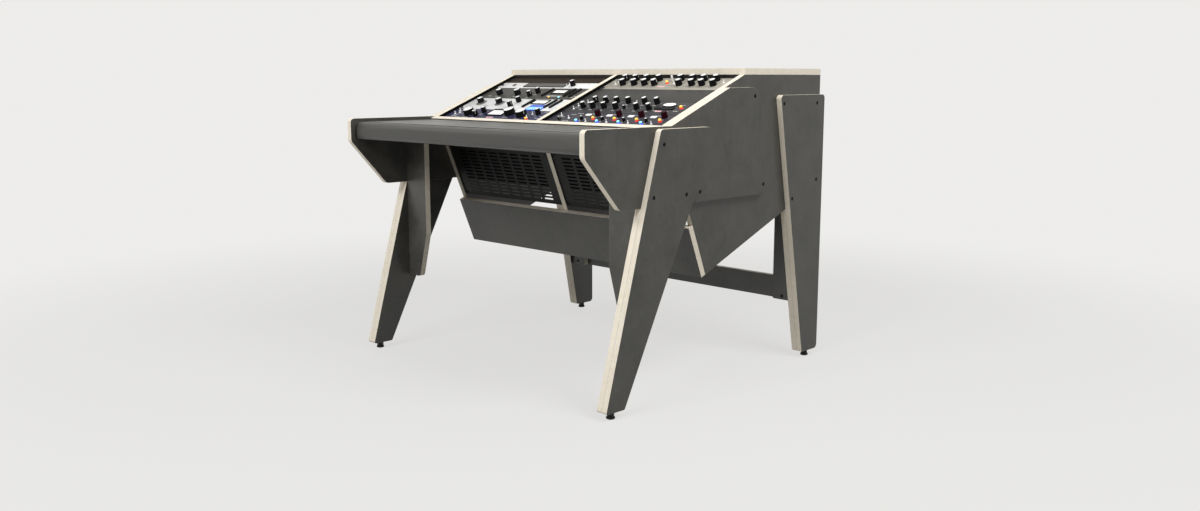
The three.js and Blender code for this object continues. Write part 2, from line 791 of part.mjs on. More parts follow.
// The equipment of each bay from the foot of the slope up. Every place is a share of the faceplate's width,
// from its middle, and of its height, from its lower edge, and so are the sizes of meters and bars.
const equipment = {
  left: [
    {
      name: 'channel_strip', units: 2, color: 0x23253f, metalness: 0.2, hasChassis: true,
      fixedShares: [
        ['knob', -0.187, 0.41],
        ['knob', -0.161, 0.73],
        ['knob', 0.38, 0.73],
        ['litButton', 0.355, 0.24],
      ],
      meterShares: [[-0.022, 0.705, 0.157, 0.45]],
      barShares: [],
      turningShares: [['large', -0.28, 0.53], ['large', 0.12, 0.64], ['large', 0.255, 0.54]],
    },
    {
      name: 'silver_compressor', units: 2, color: 0xc9c9c6, metalness: 0.5, hasChassis: true,
      fixedShares: [],
      meterShares: [[0.215, 0.715, 0.14, 0.35], [0.27, 0.2, 0.12, 0.38]],
      barShares: [[0.124, 0.57, 0.67], [0.337, 0.57, 0.67], [0.388, 0.57, 0.67]],
      turningShares: [
        ['skirted', -0.364, 0.54],
        ['skirted', -0.167, 0.53],
        ['small', -0.008, 0.3],
        ['small', -0.002, 0.71],
      ],
    },
    {
      name: 'grey_compressor', units: 2, color: 0x4b4a45, metalness: 0.4, hasChassis: true,
      fixedShares: [['lamp', 0.203, 0.18], ['lamp', 0.3, 0.18]],
      meterShares: [[0.23, 0.66, 0.133, 0.33]],
      barShares: [[0.124, 0.57, 0.67], [0.337, 0.57, 0.67], [0.388, 0.57, 0.67]],
      turningShares: [
        ['medium', -0.332, 0.37],
        ['medium', -0.145, 0.38],
        ['small', 0, 0.27],
        ['small', 0.031, 0.56],
      ],
    },
    {
      name: 'audio_interface', units: 1, color: 0xdcdcd8, metalness: 0.3, hasChassis: true,
      fixedShares: [['jack', -0.355, 0.52]],
      meterShares: [[-0.026, 0.5, 0.41, 0.64]],
      barShares: [],
      turningShares: [['small', 0.246, 0.52]],
    },
    {
      name: 'blank_panel_left', units: 1, color: 0x2c2722, metalness: 0.2, hasChassis: false,
      fixedShares: [], meterShares: [], barShares: [], turningShares: [],
    },
  ],
  right: [
    {
      name: 'microphone_preamp', units: 2, color: 0x35323b, metalness: 0.2, hasChassis: true,
      fixedShares: [
        ['fineKnob', -0.4, 0.37],
        ...alongRow('fineKnob', 0.46, [-0.218, -0.042, 0.134, 0.31]),
        ...alongRow('button', 0.76, [-0.21, -0.034, 0.142, 0.318]),
        ...alongRow('litButton', 0.49, [-0.126, 0.052, 0.23, 0.408]),
        ...alongRow('litButton', 0.25, [-0.23, -0.054, 0.123, 0.3]),
      ],
      meterShares: [],
      barShares: [],
      turningShares: alongRow('small', 0.8, [-0.136, 0.042, 0.22, 0.398]),
    },
    {
      name: 'equaliser', units: 2, color: 0x3d3c3a, metalness: 0.3, hasChassis: true,
      fixedShares: [
        ...alongRow('knob', 0.85, [-0.333, -0.242, -0.149, -0.053, 0.081, 0.179]),
        ...alongRow('knob', 0.39, [-0.365, -0.282, -0.185, -0.086, 0.086, 0.186]),
        ['fineKnob', -0.018, 0.4],
        ['dial', 0.298, 0.71],
        ['litButton', 0.414, 0.51],
      ],
      meterShares: [[0.293, 0.46, 0.145, 0.13]],
      barShares: [],
      turningShares: [],
    },
    {
      name: 'blank_panel_right', units: 2, color: 0x4a4945, metalness: 0.2, hasChassis: false,
      fixedShares: [], meterShares: [], barShares: [], turningShares: [],
    },
    {
      name: 'dual_equaliser', units: 2, color: 0x9b9788, metalness: 0.4, hasChassis: true,
      fixedShares: [
        ...alongRow('wideKnob', 0.78, [-0.387, -0.298, -0.202, -0.099, 0.081, 0.177, 0.266, 0.361]),
        ...alongRow('wideKnob', 0.38, [-0.353, -0.253, -0.164, -0.081, 0.12, 0.221, 0.3, 0.387]),
        ['litButton', 0, 0.53],
        ['toggleNut', 0.008, 0.78],
      ],
      meterShares: [],
      barShares: [],
      turningShares: [['toggle', 0.008, 0.78]],
    },
  ],
};

// A faceplate with its chassis and fixed controls. The lowest chassis of a bay clears the slotted panel.
function equipmentGeometry(unit, height, isLowest) {
  const onPlate = (geometry, acrossShare, upShare) => geometry.translate(
    acrossShare * faceplateWidth, upShare * height, 0);
  const plate = block(
    [-faceplateWidth / 2, faceplateGap / 2, -faceplateThickness],
    [faceplateWidth / 2, height - faceplateGap / 2, 0]);
  const bottom = chassisInset + (isLowest ? ventRecess + sheetThickness : 0);
  const depth = unit.hasChassis ? chassisDepth : blankLipDepth;
  const chassis = block(
    [-chassisWidth / 2, bottom, -faceplateThickness - depth],
    [chassisWidth / 2, height - chassisInset, rooted]);
  const fixed = unit.fixedShares.map(([shape, ...share]) => onPlate(fixedShapes[shape](), ...share));
  const meters = unit.meterShares.map(([acrossShare, upShare, widthShare, heightShare]) => onPlate(
    meter(widthShare * faceplateWidth, heightShare * height), acrossShare, upShare));
  const bars = unit.barShares.map(([acrossShare, upShare, lengthShare]) => onPlate(
    bar(lengthShare * height), acrossShare, upShare));
  const holes = unit.turningShares.map(([shape, ...share]) => onPlate(
    shape === 'toggle' ? toggleMouth() : spindleHole(), ...share));
  return carve(fuse([plate, chassis, ...fixed, ...meters, ...bars]), holes);
}

function controlMaterial(unit, shape) {
  if (shape === 'toggle') return chrome;
  return unit.name === 'microphone_preamp' ? redPlastic : knobPlastic;
}

function addEquipment(side, units) {
  let raised = 0;
  for (const unit of units) {
    const height = unit.units * rackUnitHeight;
    const { color, metalness } = unit;
    const paint = new THREE.MeshStandardMaterial({ color, metalness, roughness: 0.5 });
    const plate = addMesh(rack, unit.name, equipmentGeometry(unit, height, raised === 0), paint);
    plate.position.set(side * bayCentre, raised, -faceplateRecess);
    unit.turningShares.forEach(([shape, acrossShare, upShare], index) => {
      const name = shape === 'toggle' ? `${unit.name}_toggle` : `${unit.name}_knob_${index + 1}`;
      const control = addMesh(rack, name, turningShapes[shape](), controlMaterial(unit, shape));
      control.position.copy(plate.position);
      control.position.x += acrossShare * faceplateWidth;
      control.position.y += upShare * height;
    });
    raised += height;
  }
}
addEquipment(-1, equipment.left);
addEquipment(1, equipment.right);

export default desk;
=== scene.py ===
# A plywood studio desk with two sloped rack bays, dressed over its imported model. Metres, Z up.
import json
import math
import random

import bmesh
import bpy
from mathutils import Matrix, Vector

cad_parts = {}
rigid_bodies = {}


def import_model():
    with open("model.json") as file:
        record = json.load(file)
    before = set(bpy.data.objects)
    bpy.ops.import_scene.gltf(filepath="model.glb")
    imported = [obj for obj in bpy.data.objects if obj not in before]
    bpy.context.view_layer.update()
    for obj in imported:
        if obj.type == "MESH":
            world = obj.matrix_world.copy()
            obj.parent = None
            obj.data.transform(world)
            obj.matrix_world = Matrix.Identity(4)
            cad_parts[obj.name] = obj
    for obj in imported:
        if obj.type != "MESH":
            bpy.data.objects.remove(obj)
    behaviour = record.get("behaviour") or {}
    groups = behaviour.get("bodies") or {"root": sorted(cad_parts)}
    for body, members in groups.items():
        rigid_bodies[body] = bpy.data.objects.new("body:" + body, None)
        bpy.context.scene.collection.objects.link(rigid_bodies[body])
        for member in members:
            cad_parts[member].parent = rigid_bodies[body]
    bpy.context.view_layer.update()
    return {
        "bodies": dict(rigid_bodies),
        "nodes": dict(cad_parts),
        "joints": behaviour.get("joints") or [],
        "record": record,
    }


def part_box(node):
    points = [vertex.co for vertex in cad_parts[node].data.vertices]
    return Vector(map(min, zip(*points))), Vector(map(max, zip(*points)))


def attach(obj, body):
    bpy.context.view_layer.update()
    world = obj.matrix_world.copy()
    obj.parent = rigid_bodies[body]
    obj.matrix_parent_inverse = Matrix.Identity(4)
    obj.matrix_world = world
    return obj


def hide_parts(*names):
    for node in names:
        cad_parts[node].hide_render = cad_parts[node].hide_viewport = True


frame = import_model()
mm = 0.001

desk = {
    "depth": 1034 * mm,
    "rackTilt": math.radians(22),
    "rackFoot": (0, -0.196, 0.748),   # lower front edge of the slope
    "plyThickness": 18 * mm,
    "veneerCount": 13,
}
rackPlace = Matrix.Translation(desk["rackFoot"]) @ Matrix.Rotation(desk["rackTilt"], 4, "X")


def plug(tree, node, key, value):
    if isinstance(value, bpy.types.NodeSocket):
        tree.links.new(value, node.inputs[key])
    else:
        node.inputs[key].default_value = value


def addNode(tree, kind, inputs=(), **settings):
    node = tree.nodes.new(kind)
    for key, value in settings.items():
        setattr(node, key, value)
    for key, value in dict(inputs).items():
        plug(tree, node, key, value)
    return node


def startGroup(name, inputs, outputs=(("Mask", "Float"),)):
    # every group takes a place, and most give a mask from 0 to 1
    tree = bpy.data.node_groups.new(name, "ShaderNodeTree")
    for label, kind, value in [("Place", "Vector", None), *inputs]:
        socket = tree.interface.new_socket(label, in_out="INPUT", socket_type="NodeSocket" + kind)
        if value is not None:
            socket.default_value = value
    for label, kind in outputs:
        tree.interface.new_socket(label, in_out="OUTPUT", socket_type="NodeSocket" + kind)
    return tree, addNode(tree, "NodeGroupInput").outputs, addNode(tree, "NodeGroupOutput").inputs


def useGroup(tree, group, place, inputs):
    return addNode(tree, "ShaderNodeGroup", {"Place": place, **inputs}, node_tree=group).outputs


def ramp(tree, value, low, high, toLow=0.0, toHigh=1.0):
    inputs = {"Value": value, "From Min": low, "From Max": high, "To Min": toLow, "To Max": toHigh}
    return addNode(tree, "ShaderNodeMapRange", inputs).outputs["Result"]


def blendColors(tree, factor, first, second):
    # a color mix has its factor at input 0, its colors at 6 and 7 and its result at output 2
    return addNode(tree, "ShaderNodeMix", {0: factor, 6: first, 7: second}, data_type="RGBA").outputs[2]


def combine(tree, kind, first, second=0.0):
    return addNode(tree, "ShaderNodeMath", {0: first, 1: second}, operation=kind).outputs[0]


def times(tree, first, second):
    return combine(tree, "MULTIPLY", first, second)


def noise(tree, place, scale, detail=2, more=()):
    inputs = {"Vector": place, "Scale": scale, "Detail": detail, **dict(more)}
    return addNode(tree, "ShaderNodeTexNoise", inputs).outputs["Fac"]


def startMaterial(name, metallic, roughness, color, specular=0.5):
    material = bpy.data.materials.new(name)
    material.use_nodes = True
    material.diffuse_color = (*color, 1)
    tree = material.node_tree
    shader = tree.nodes["Principled BSDF"]
    for key, value in (("Metallic", metallic), ("Roughness", roughness), ("Base Color", (*color, 1)),
                       ("Specular IOR Level", specular)):
        plug(tree, shader, key, value)
    return material, tree, shader, addNode(tree, "ShaderNodeTexCoord").outputs["Object"]


def addBump(tree, shader, height, distance, strength):
    inputs = {"Height": height, "Distance": distance, "Strength": strength}
    plug(tree, shader, "Normal", addNode(tree, "ShaderNodeBump", inputs).outputs["Normal"])


def makeCloudGroup():
    # soft smudges at one scale, finer ones on top
    tree, given, out = startGroup("cloudMask", [("Scale", "Float", 4.0), ("Fine Scale", "Float", 60.0)])
    broad = noise(tree, given["Place"], given["Scale"], 4, {"Roughness": 0.55})
    fine = noise(tree, given["Place"], given["Fine Scale"], 3, {"Roughness": 0.6})
    mixed = combine(tree, "ADD", times(tree, broad, 0.7), times(tree, fine, 0.3))
    tree.links.new(ramp(tree, mixed, 0.3, 0.7), out["Mask"])
    return tree


def makeStreakGroup():
    # fine lines along one axis, as on brushed metal or wiped laminate
    tree, given, out = startGroup(
        "streakMask", [("Stretch", "Vector", (1.0, 40.0, 40.0)), ("Scale", "Float", 20.0)])
    stretched = addNode(tree, "ShaderNodeVectorMath", {0: given["Place"], 1: given["Stretch"]},
                        operation="MULTIPLY").outputs[0]
    streaks = noise(tree, stretched, given["Scale"], 5, {"Roughness": 0.65})
    tree.links.new(ramp(tree, streaks, 0.3, 0.7), out["Mask"])
    return tree


def makeSpeckGroup():
    # sparse small specks of dust or pores
    tree, given, out = startGroup("speckMask", [("Scale", "Float", 300.0), ("Share", "Float", 0.2)])
    cells = addNode(tree, "ShaderNodeTexVoronoi", {"Vector": given["Place"], "Scale": given["Scale"]})
    near = combine(tree, "LESS_THAN", cells.outputs["Distance"], given["Share"])
    patches = ramp(tree, noise(tree, given["Place"], 9.0), 0.45, 0.7)
    tree.links.new(times(tree, near, patches), out["Mask"])
    return tree


def makePlyGroup():
    # veneers across the thickness: alternate tints, thin glue lines, and pores in every second veneer
    tree, given, out = startGroup(
        "plyLayers",
        [("Through", "Float", 0.0), ("Veneer", "Float", 0.00138),
         ("Light", "Color", (0.8, 0.74, 0.62, 1)), ("Dark", "Color", (0.6, 0.5, 0.36, 1)),
         ("Glue", "Color", (0.25, 0.17, 0.09, 1))],
        [("Color", "Color"), ("Height", "Float")])
    waver = times(tree, combine(tree, "SUBTRACT", noise(tree, given["Place"], 14.0), 0.5), 0.0006)
    shifted = combine(tree, "ADD", given["Through"], waver)
    count = combine(tree, "ABSOLUTE", combine(tree, "DIVIDE", shifted, given["Veneer"]))
    isCross = combine(tree, "GREATER_THAN", combine(tree, "MODULO", count, 2.0), 1.0)
    fromMiddle = combine(tree, "SUBTRACT", combine(tree, "FRACT", count), 0.5)
    isGlue = combine(tree, "GREATER_THAN", combine(tree, "ABSOLUTE", fromMiddle), 0.455)
    tint = ramp(tree, noise(tree, given["Place"], 55.0, 4), 0.35, 0.65)
    pores = noise(tree, given["Place"], 900.0)
    crossShare = combine(tree, "ADD", times(tree, isCross, 0.55), times(tree, tint, 0.3))
    wood = blendColors(tree, crossShare, given["Light"], given["Dark"])
    poreShare = times(tree, isCross, ramp(tree, pores, 0.62, 0.75, 0, 0.5))
    porous = blendColors(tree, poreShare, wood, given["Glue"])
    glued = blendColors(tree, times(tree, isGlue, 0.45), porous, given["Glue"])
    tree.links.new(glued, out["Color"])
    tree.links.new(combine(tree, "SUBTRACT", times(tree, pores, 0.4), isGlue), out["Height"])
    return tree


cloudGroup = makeCloudGroup()
streakGroup = makeStreakGroup()
speckGroup = makeSpeckGroup()
plyGroup = makePlyGroup()
print("shared effects ready")


def shade(color, factor):
    return (*(min(1.0, channel * factor) for channel in color[:3]), 1)


def twoTone(tree, mask, color, low, high):
    # from a darker to a lighter shade of one color
    return blendColors(tree, mask, shade(color, low), shade(color, high))


def cloudMask(tree, place, broad, fine):
    return useGroup(tree, cloudGroup, place, {"Scale": broad, "Fine Scale": fine})["Mask"]


def streakMask(tree, place, stretch, scale):
    return useGroup(tree, streakGroup, place, {"Stretch": stretch, "Scale": scale})["Mask"]


def speckMask(tree, place, scale, share):
    return useGroup(tree, speckGroup, place, {"Scale": scale, "Share": share})["Mask"]


def coat(tree, shader, color, mask, smooth, rough):
    # the color, and a roughness that follows the mask between two values
    plug(tree, shader, "Base Color", color)
    plug(tree, shader, "Roughness", ramp(tree, mask, 0, 1, smooth, rough))


def makeLaminate():
    look = {
        "color": (0.044, 0.0428, 0.0368), "clouds": 0.36, "roughness": 0.34, "grain": 0.00003,
        "streaks": 0.05, "wiped": (0.16, 0.155, 0.14, 1), "specks": 0.25, "dust": (0.35, 0.34, 0.31, 1),
    }
    material, tree, shader, place = startMaterial("darkLaminate", 0, look["roughness"], look["color"])
    clouds = cloudMask(tree, place, 13.0, 60.0)
    streaks = streakMask(tree, place, (22.0, 22.0, 1.6), 4.0)
    specks = speckMask(tree, place, 260.0, 0.09)
    clouded = twoTone(tree, clouds, look["color"], 1 - look["clouds"], 1 + look["clouds"])
    wiped = blendColors(tree, times(tree, streaks, look["streaks"]), clouded, look["wiped"])
    dusty = blendColors(tree, times(tree, specks, look["specks"]), wiped, look["dust"])
    coat(tree, shader, dusty, clouds, look["roughness"] - 0.07, look["roughness"] + 0.1)
    addBump(tree, shader, noise(tree, place, 700.0, 3), look["grain"], 0.6)
    return material


def makeBirchEdge():
    look = {"light": (0.84, 0.785, 0.68, 1), "dark": (0.70, 0.62, 0.485, 1),
            "glue": (0.42, 0.33, 0.21, 1), "handled": (0.5, 0.42, 0.3, 1)}
    material, tree, shader, place = startMaterial("birchEdge", 0, 0.55, look["light"][:3])
    through = addNode(tree, "ShaderNodeAttribute", attribute_name="plyDepth").outputs["Fac"]
    layers = useGroup(tree, plyGroup, place, {
        "Through": through, "Veneer": desk["plyThickness"] / desk["veneerCount"],
        "Light": look["light"], "Dark": look["dark"], "Glue": look["glue"]})
    handled = cloudMask(tree, place, 7.0, 90.0)
    color = blendColors(tree, times(tree, handled, 0.12), layers["Color"], look["handled"])
    coat(tree, shader, color, handled, 0.5, 0.68)
    addBump(tree, shader, layers["Height"], 0.00012, 0.5)
    return material


def makeLeatherette():
    look = {"color": (0.034, 0.033, 0.029), "roughness": 0.42, "grain": 0.0002, "sheen": 0.08}
    material, tree, shader, place = startMaterial("padLeatherette", 0, look["roughness"], look["color"])
    cells = addNode(tree, "ShaderNodeTexVoronoi", {"Vector": place, "Scale": 520.0}, feature="SMOOTH_F1")
    creases = noise(tree, place, 130.0, 5, {"Distortion": 0.4})
    clouds = cloudMask(tree, place, 6.0, 70.0)
    tone = twoTone(tree, clouds, look["color"], 0.86, 1.16)
    coat(tree, shader, tone, clouds, look["roughness"] - 0.06, look["roughness"] + 0.1)
    grain = combine(tree, "ADD", cells.outputs["Distance"], times(tree, creases, 0.5))
    addBump(tree, shader, grain, look["grain"], 0.5)
    plug(tree, shader, "Sheen Weight", look["sheen"])
    return material


def makePowder(name, color, roughness, specular=0.5, peel=0.00006):
    material, tree, shader, place = startMaterial(name, 0, roughness, color, specular)
    clouds = cloudMask(tree, place, 8.0, 120.0)
    specks = speckMask(tree, place, 330.0, 0.1)
    tone = twoTone(tree, clouds, color, 0.85, 1.18)
    dusty = blendColors(tree, times(tree, specks, 0.12), tone, (0.4, 0.39, 0.36, 1))
    coat(tree, shader, dusty, clouds, roughness - 0.06, roughness + 0.1)
    addBump(tree, shader, noise(tree, place, 1100.0), peel, 0.7)
    return material


def makeBrushed(name, color, metallic, roughness, strength):
    material, tree, shader, place = startMaterial(name, metallic, roughness, color)
    lines = streakMask(tree, place, (1.0, 60.0, 60.0), 22.0)
    tone = twoTone(tree, lines, color, 1 - strength, 1 + strength)
    marks = times(tree, cloudMask(tree, place, 9.0, 80.0), 0.1)
    marked = blendColors(tree, marks, tone, shade(color, 0.7))
    coat(tree, shader, marked, lines, roughness - 0.05, roughness + 0.12)
    addBump(tree, shader, lines, 0.00003, 0.4)
    return material


def makePlastic(name, color, roughness, specular=0.5):
    material, tree, shader, place = startMaterial(name, 0, roughness, color, specular)
    clouds = cloudMask(tree, place, 60.0, 400.0)
    tone = twoTone(tree, clouds, color, 0.82, 1.25)
    coat(tree, shader, tone, clouds, roughness - 0.07, roughness + 0.12)
    addBump(tree, shader, noise(tree, place, 2200.0), 0.00003, 0.4)
    return material


def makeGlow(name, color, strength):
    material, tree, shader, place = startMaterial(name, 0, 0.25, color)
    tone = twoTone(tree, cloudMask(tree, place, 90.0, 500.0), color, 0.8, 1.15)
    for key, value in (("Base Color", tone), ("Emission Color", tone), ("Emission Strength", strength)):
        plug(tree, shader, key, value)
    return material


powders = {   # color, roughness, specular level, height of the peel
    "powder": ((0.008, 0.0078, 0.0072), 0.5, 0.22),
    "rubber": ((0.008, 0.008, 0.008), 0.7, 0.3, 0.0001),
    # the black of the cases, and of the painted shade sheet on the walls of the bays
    "caseBlack": ((0.003, 0.003, 0.003), 0.7, 0.05),
    "print": ((0.72, 0.72, 0.69), 0.6),
    "darkPrint": ((0.03, 0.03, 0.035), 0.6),
    "pinkPrint": ((0.86, 0.48, 0.50), 0.6),
    "redZone": ((0.45, 0.02, 0.03), 0.5),
    "navy": ((0.016, 0.017, 0.050), 0.45, 0.25),
    "greyPaint": ((0.050, 0.048, 0.041), 0.5, 0.2),
    "brownBlack": ((0.022, 0.016, 0.011), 0.6, 0.1),
    "plumGrey": ((0.029, 0.027, 0.036), 0.5, 0.2),
    "charcoal": ((0.035, 0.034, 0.035), 0.5, 0.2),
    "plainGrey": ((0.042, 0.041, 0.037), 0.5, 0.15),
    "beige": ((0.30, 0.28, 0.235), 0.45, 0.3),
}
plastics = {   # color, roughness, specular level
    # also the walls of the screw holes in the boards, as painted shade
    "screwBlack": ((0.006, 0.006, 0.0062), 0.5, 0.2),
    "knob": ((0.0045, 0.0045, 0.005), 0.45, 0.12),
    "redKnob": ((0.020, 0.0008, 0.0045), 0.45, 0.12),
    "skirtGrey": ((0.085, 0.083, 0.076), 0.34),
    "displayGlass": ((0.050, 0.048, 0.042), 0.3, 0.2),
}
metals = {   # color, metallic, roughness, strength of the streaks
    "zinc": ((0.55, 0.55, 0.53), 0.95, 0.3, 0.1),
    "blackOxide": ((0.012, 0.012, 0.013), 0.6, 0.4, 0.3),
    "cap": ((0.90, 0.90, 0.88), 0.25, 0.3, 0.06),
    "brightSteel": ((0.95, 0.95, 0.93), 0.1, 0.25, 0.02),
    "silver": ((0.68, 0.68, 0.67), 0.15, 0.38, 0.05),
    "white": ((0.72, 0.72, 0.71), 0.1, 0.4, 0.04),
}
glows = {   # color, strength
    "keyGlow": ((0.90, 0.90, 0.88), 0.25),
    "meterFace": ((0.86, 0.84, 0.79), 0.3),
    "blueDeep": ((0.01, 0.07, 0.42), 0.5),
    "paleGlow": ((0.20, 0.48, 0.85), 0.5),
    "yellowLamp": ((0.95, 0.50, 0.07), 0.7),
    "redLamp": ((0.66, 0.035, 0.035), 0.35),
    "blueLamp": ((0.035, 0.045, 0.72), 0.6),
    "cyanLamp": ((0.25, 0.74, 0.85), 0.6),
}
finishes = {"laminate": makeLaminate(), "birch": makeBirchEdge(), "leatherette": makeLeatherette()}
for make, looks in ((makePowder, powders), (makePlastic, plastics), (makeBrushed, metals),
                    (makeGlow, glows)):
    for name, values in looks.items():
        finishes[name] = make(name, *values)
print("materials ready:", len(finishes))


def toMesh(bm, name):
    mesh = bpy.data.meshes.new(name)
    bm.to_mesh(mesh)
    bm.free()
    return mesh


def addObject(name, data):
    item = bpy.data.objects.new(name, data)
    bpy.context.scene.collection.objects.link(item)
    return item


def pieceName(node, kind):
    return node.replace("_", "-") + "-" + kind


def finishPiece(name, bm, materials, body="desk", slot=None, hides=(), place=None, angle=34):
    if place is not None:
        bmesh.ops.transform(bm, matrix=place, verts=bm.verts)
    mesh = toMesh(bm, name)
    for material in materials:
        mesh.materials.append(finishes[material])
    mesh.shade_smooth()
    mesh.set_sharp_from_angle(angle=math.radians(angle))
    piece = addObject(name, mesh)
    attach(piece, body)
    if hides:
        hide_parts(*hides)
    return piece


def applyModifiers(piece):
    graph = bpy.context.evaluated_depsgraph_get()
    fresh = bpy.data.meshes.new_from_object(piece.evaluated_get(graph), depsgraph=graph)
    piece.modifiers.clear()
    piece.data = fresh


def setMaterial(verts, index):
    faces = {face for vert in verts for face in vert.link_faces}
    for face in faces:
        face.material_index = index
    return list(faces)


def connectedVerts(seeds):
    found = set(seeds)
    waiting = list(seeds)
    while waiting:
        vert = waiting.pop()
        for edge in vert.link_edges:
            other = edge.other_vert(vert)
            if other not in found:
                found.add(other)
                waiting.append(other)
    return list(found)


def addBox(bm, low, high, material=0, bevel=0.0, place=Matrix()):
    # a box between two corners, in millimetres
    low, high = (Vector([value * mm for value in corner]) for corner in (low, high))
    matrix = place @ Matrix.Translation((low + high) / 2) @ Matrix.Diagonal((*(high - low), 1))
    verts = bmesh.ops.create_cube(bm, size=1, matrix=matrix)["verts"]
    setMaterial(verts, material)
    if bevel:
        edges = list({edge for vert in verts for edge in vert.link_edges})
        bmesh.ops.bevel(bm, geom=edges, offset=bevel * mm, offset_type="OFFSET", segments=2, profile=0.5,
                        affect="EDGES", material=-1, clamp_overlap=True)


def addTurned(bm, profile, steps, material, place):
    # a profile of radius and height, in millimetres, turned once round
    chain = [bm.verts.new((radius * mm, 0, height * mm)) for radius, height in profile]
    edges = [bm.edges.new(pair) for pair in zip(chain, chain[1:])]
    bmesh.ops.spin(bm, geom=chain + edges, cent=(0, 0, 0), axis=(0, 0, 1), dvec=(0, 0, 0),
                   angle=math.tau, steps=steps, use_merge=True, use_duplicate=False)
    bmesh.ops.remove_doubles(bm, verts=connectedVerts(chain), dist=1e-6)
    verts = connectedVerts([vert for vert in chain if vert.is_valid])
    bmesh.ops.recalc_face_normals(bm, faces=setMaterial(verts, material))
    bmesh.ops.transform(bm, matrix=place, verts=verts)
    return verts


def addScrew(bm, head, recess, steps, material, place):
    # a turned head with a hexagon recess
    radius, top = head[-1]
    addTurned(bm, head, steps, material, place)
    addTurned(bm, [(radius, top), (radius - 0.1, top - recess), (0, top - recess)], 6, material, place)


def turned(place, degrees, axis="Z"):
    return place @ Matrix.Rotation(math.radians(degrees), 4, axis)


def at(x, y, z=0.0):
    return Matrix.Translation((x * mm, y * mm, z * mm))


def cleanMesh(mesh, isFlat=True):
    # the mesh opened for editing and welded, with flat neighbours joined
    bm = bmesh.new()
    bm.from_mesh(mesh)
    bmesh.ops.remove_doubles(bm, verts=bm.verts, dist=2e-6)
    if isFlat:
        bmesh.ops.dissolve_limit(bm, angle_limit=math.radians(0.5), verts=bm.verts, edges=bm.edges)
    return bm


boardLook = {
    "edgeRound": 0.5 * mm,
    "edgeAngle": math.radians(50),   # an edge that turns more than this is rounded
    "holeRadius": 5.4 * mm,
    "holeDepth": 3.2 * mm,
    "gussetScrew": (0.464, 0.194),   # off the middle, and height
}
# screws on outer faces: (setback from the nose, height)
screwPlaces = {
    "front_leg_outer": [(271, 702), (233, 566), (363, 565)],
    "wing_panel": [(441, 565), (729, 566), (680, 821.5)],
    "rear_leg_outer": [(823, 797), (994, 797), (1002, 562), (877, 511)],
}


def thicknessAxis(node):
    if node in ("upper_front_board", "lower_front_board"):
        return rackPlace.to_3x3() @ Vector((0, 1, 0))
    if node in ("top_shelf", "desktop"):
        return Vector((0, 0, 1))
    if node.startswith(("front_gusset", "rear_gusset")) or node in ("rear_beam", "armrest_backing_board"):
        return Vector((0, 1, 0))
    return Vector((1, 0, 0))


def holesFor(node):
    # each hole as a point on the face and the way out of the board
    side = -1 if node.endswith("left") else 1
    low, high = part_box(node)
    if node.startswith("rear_gusset"):
        across, up = boardLook["gussetScrew"]
        return [(Vector((side * across, low.y, up)), Vector((0, -1, 0)))]
    face = high.x if side > 0 else low.x
    places = [place for part, found in screwPlaces.items() if node.startswith(part) for place in found]
    return [(Vector((face, setback * mm - desk["depth"] / 2, height * mm)), Vector((side, 0, 0)))
            for setback, height in places]


def outwards(point, normal):
    return Matrix.Translation(point) @ normal.to_track_quat("Z", "Y").to_matrix().to_4x4()


def cutHoles(mesh, holes):
    radius = boardLook["holeRadius"]
    cutters = bmesh.new()
    for point, normal in holes:
        bmesh.ops.create_cone(cutters, cap_ends=True, segments=28, radius1=radius, radius2=radius,
                              depth=2 * boardLook["holeDepth"], matrix=outwards(point, normal))
    cutter = addObject("holeCutters", toMesh(cutters, "holeCutters"))
    blank = addObject("boardBlank", mesh)
    cut = blank.modifiers.new("holes", "BOOLEAN")
    cut.operation = "DIFFERENCE"
    cut.solver = "EXACT"
    cut.object = cutter
    bpy.context.view_layer.update()
    applyModifiers(blank)
    mesh = blank.data
    for item in (blank, cutter):
        bpy.data.objects.remove(item)
    return mesh


def makeScrews(name, holes):
    # a socket-head screw sunk in each hole
    bm = bmesh.new()
    for point, normal in holes:
        place = outwards(point, normal)
        head = [(0, -3.1), (4.6, -3.1), (4.6, -1.6), (4.2, -1.1), (3.1, -0.95), (2.2, -0.9)]
        addScrew(bm, head, 1.7, 28, 0, place)
    finishPiece(name, bm, ["screwBlack"])


def makeBoard(node):
    # painted faces, bare edges in layers, and screw holes with black walls as painted shade; materials:
    # paint, edge, hole shade
    holes, axis = holesFor(node), thicknessAxis(node)
    mesh = toMesh(cleanMesh(frame["nodes"][node].data), node + "Board")
    bm = cleanMesh(cutHoles(mesh, holes) if holes else mesh)
    for face in bm.faces:
        # the desktop's front edge, in the seam behind the pad, also takes the laminate, as painted shade
        # for the seam
        isLaminateOrSeamShade = abs(face.normal.dot(axis)) > 0.9 or node == "desktop" and face.normal.y < -0.5
        face.material_index = 0 if isLaminateOrSeamShade else 1
        # the walls of a screw hole get the black finish, painted shade for the recess
        for point, normal in holes:
            offset = face.calc_center_median() - point
            depth = -offset.dot(normal)
            if depth > 0.5 * mm and (offset + normal * depth).length < boardLook["holeRadius"] * 1.05:
                face.material_index = 2
    sharp = [edge for edge in bm.edges
             if len(edge.link_faces) == 2 and edge.calc_face_angle(0) > boardLook["edgeAngle"]]
    bmesh.ops.bevel(bm, geom=sharp, offset=boardLook["edgeRound"], offset_type="OFFSET", segments=2,
                    profile=0.5, affect="EDGES", material=-1, clamp_overlap=True)
    lowest = min(vert.co.dot(axis) for vert in bm.verts)
    layer = bm.verts.layers.float.new("plyDepth")   # how far through the board, for the edge's layers
    for vert in bm.verts:
        vert[layer] = vert.co.dot(axis) - lowest
    finishPiece(pieceName(node, "board"), bm, ["laminate", "birch", "screwBlack"], slot="painted_ply",
                hides=[node], angle=20)
    if holes:
        makeScrews(pieceName(node, "screws"), holes)


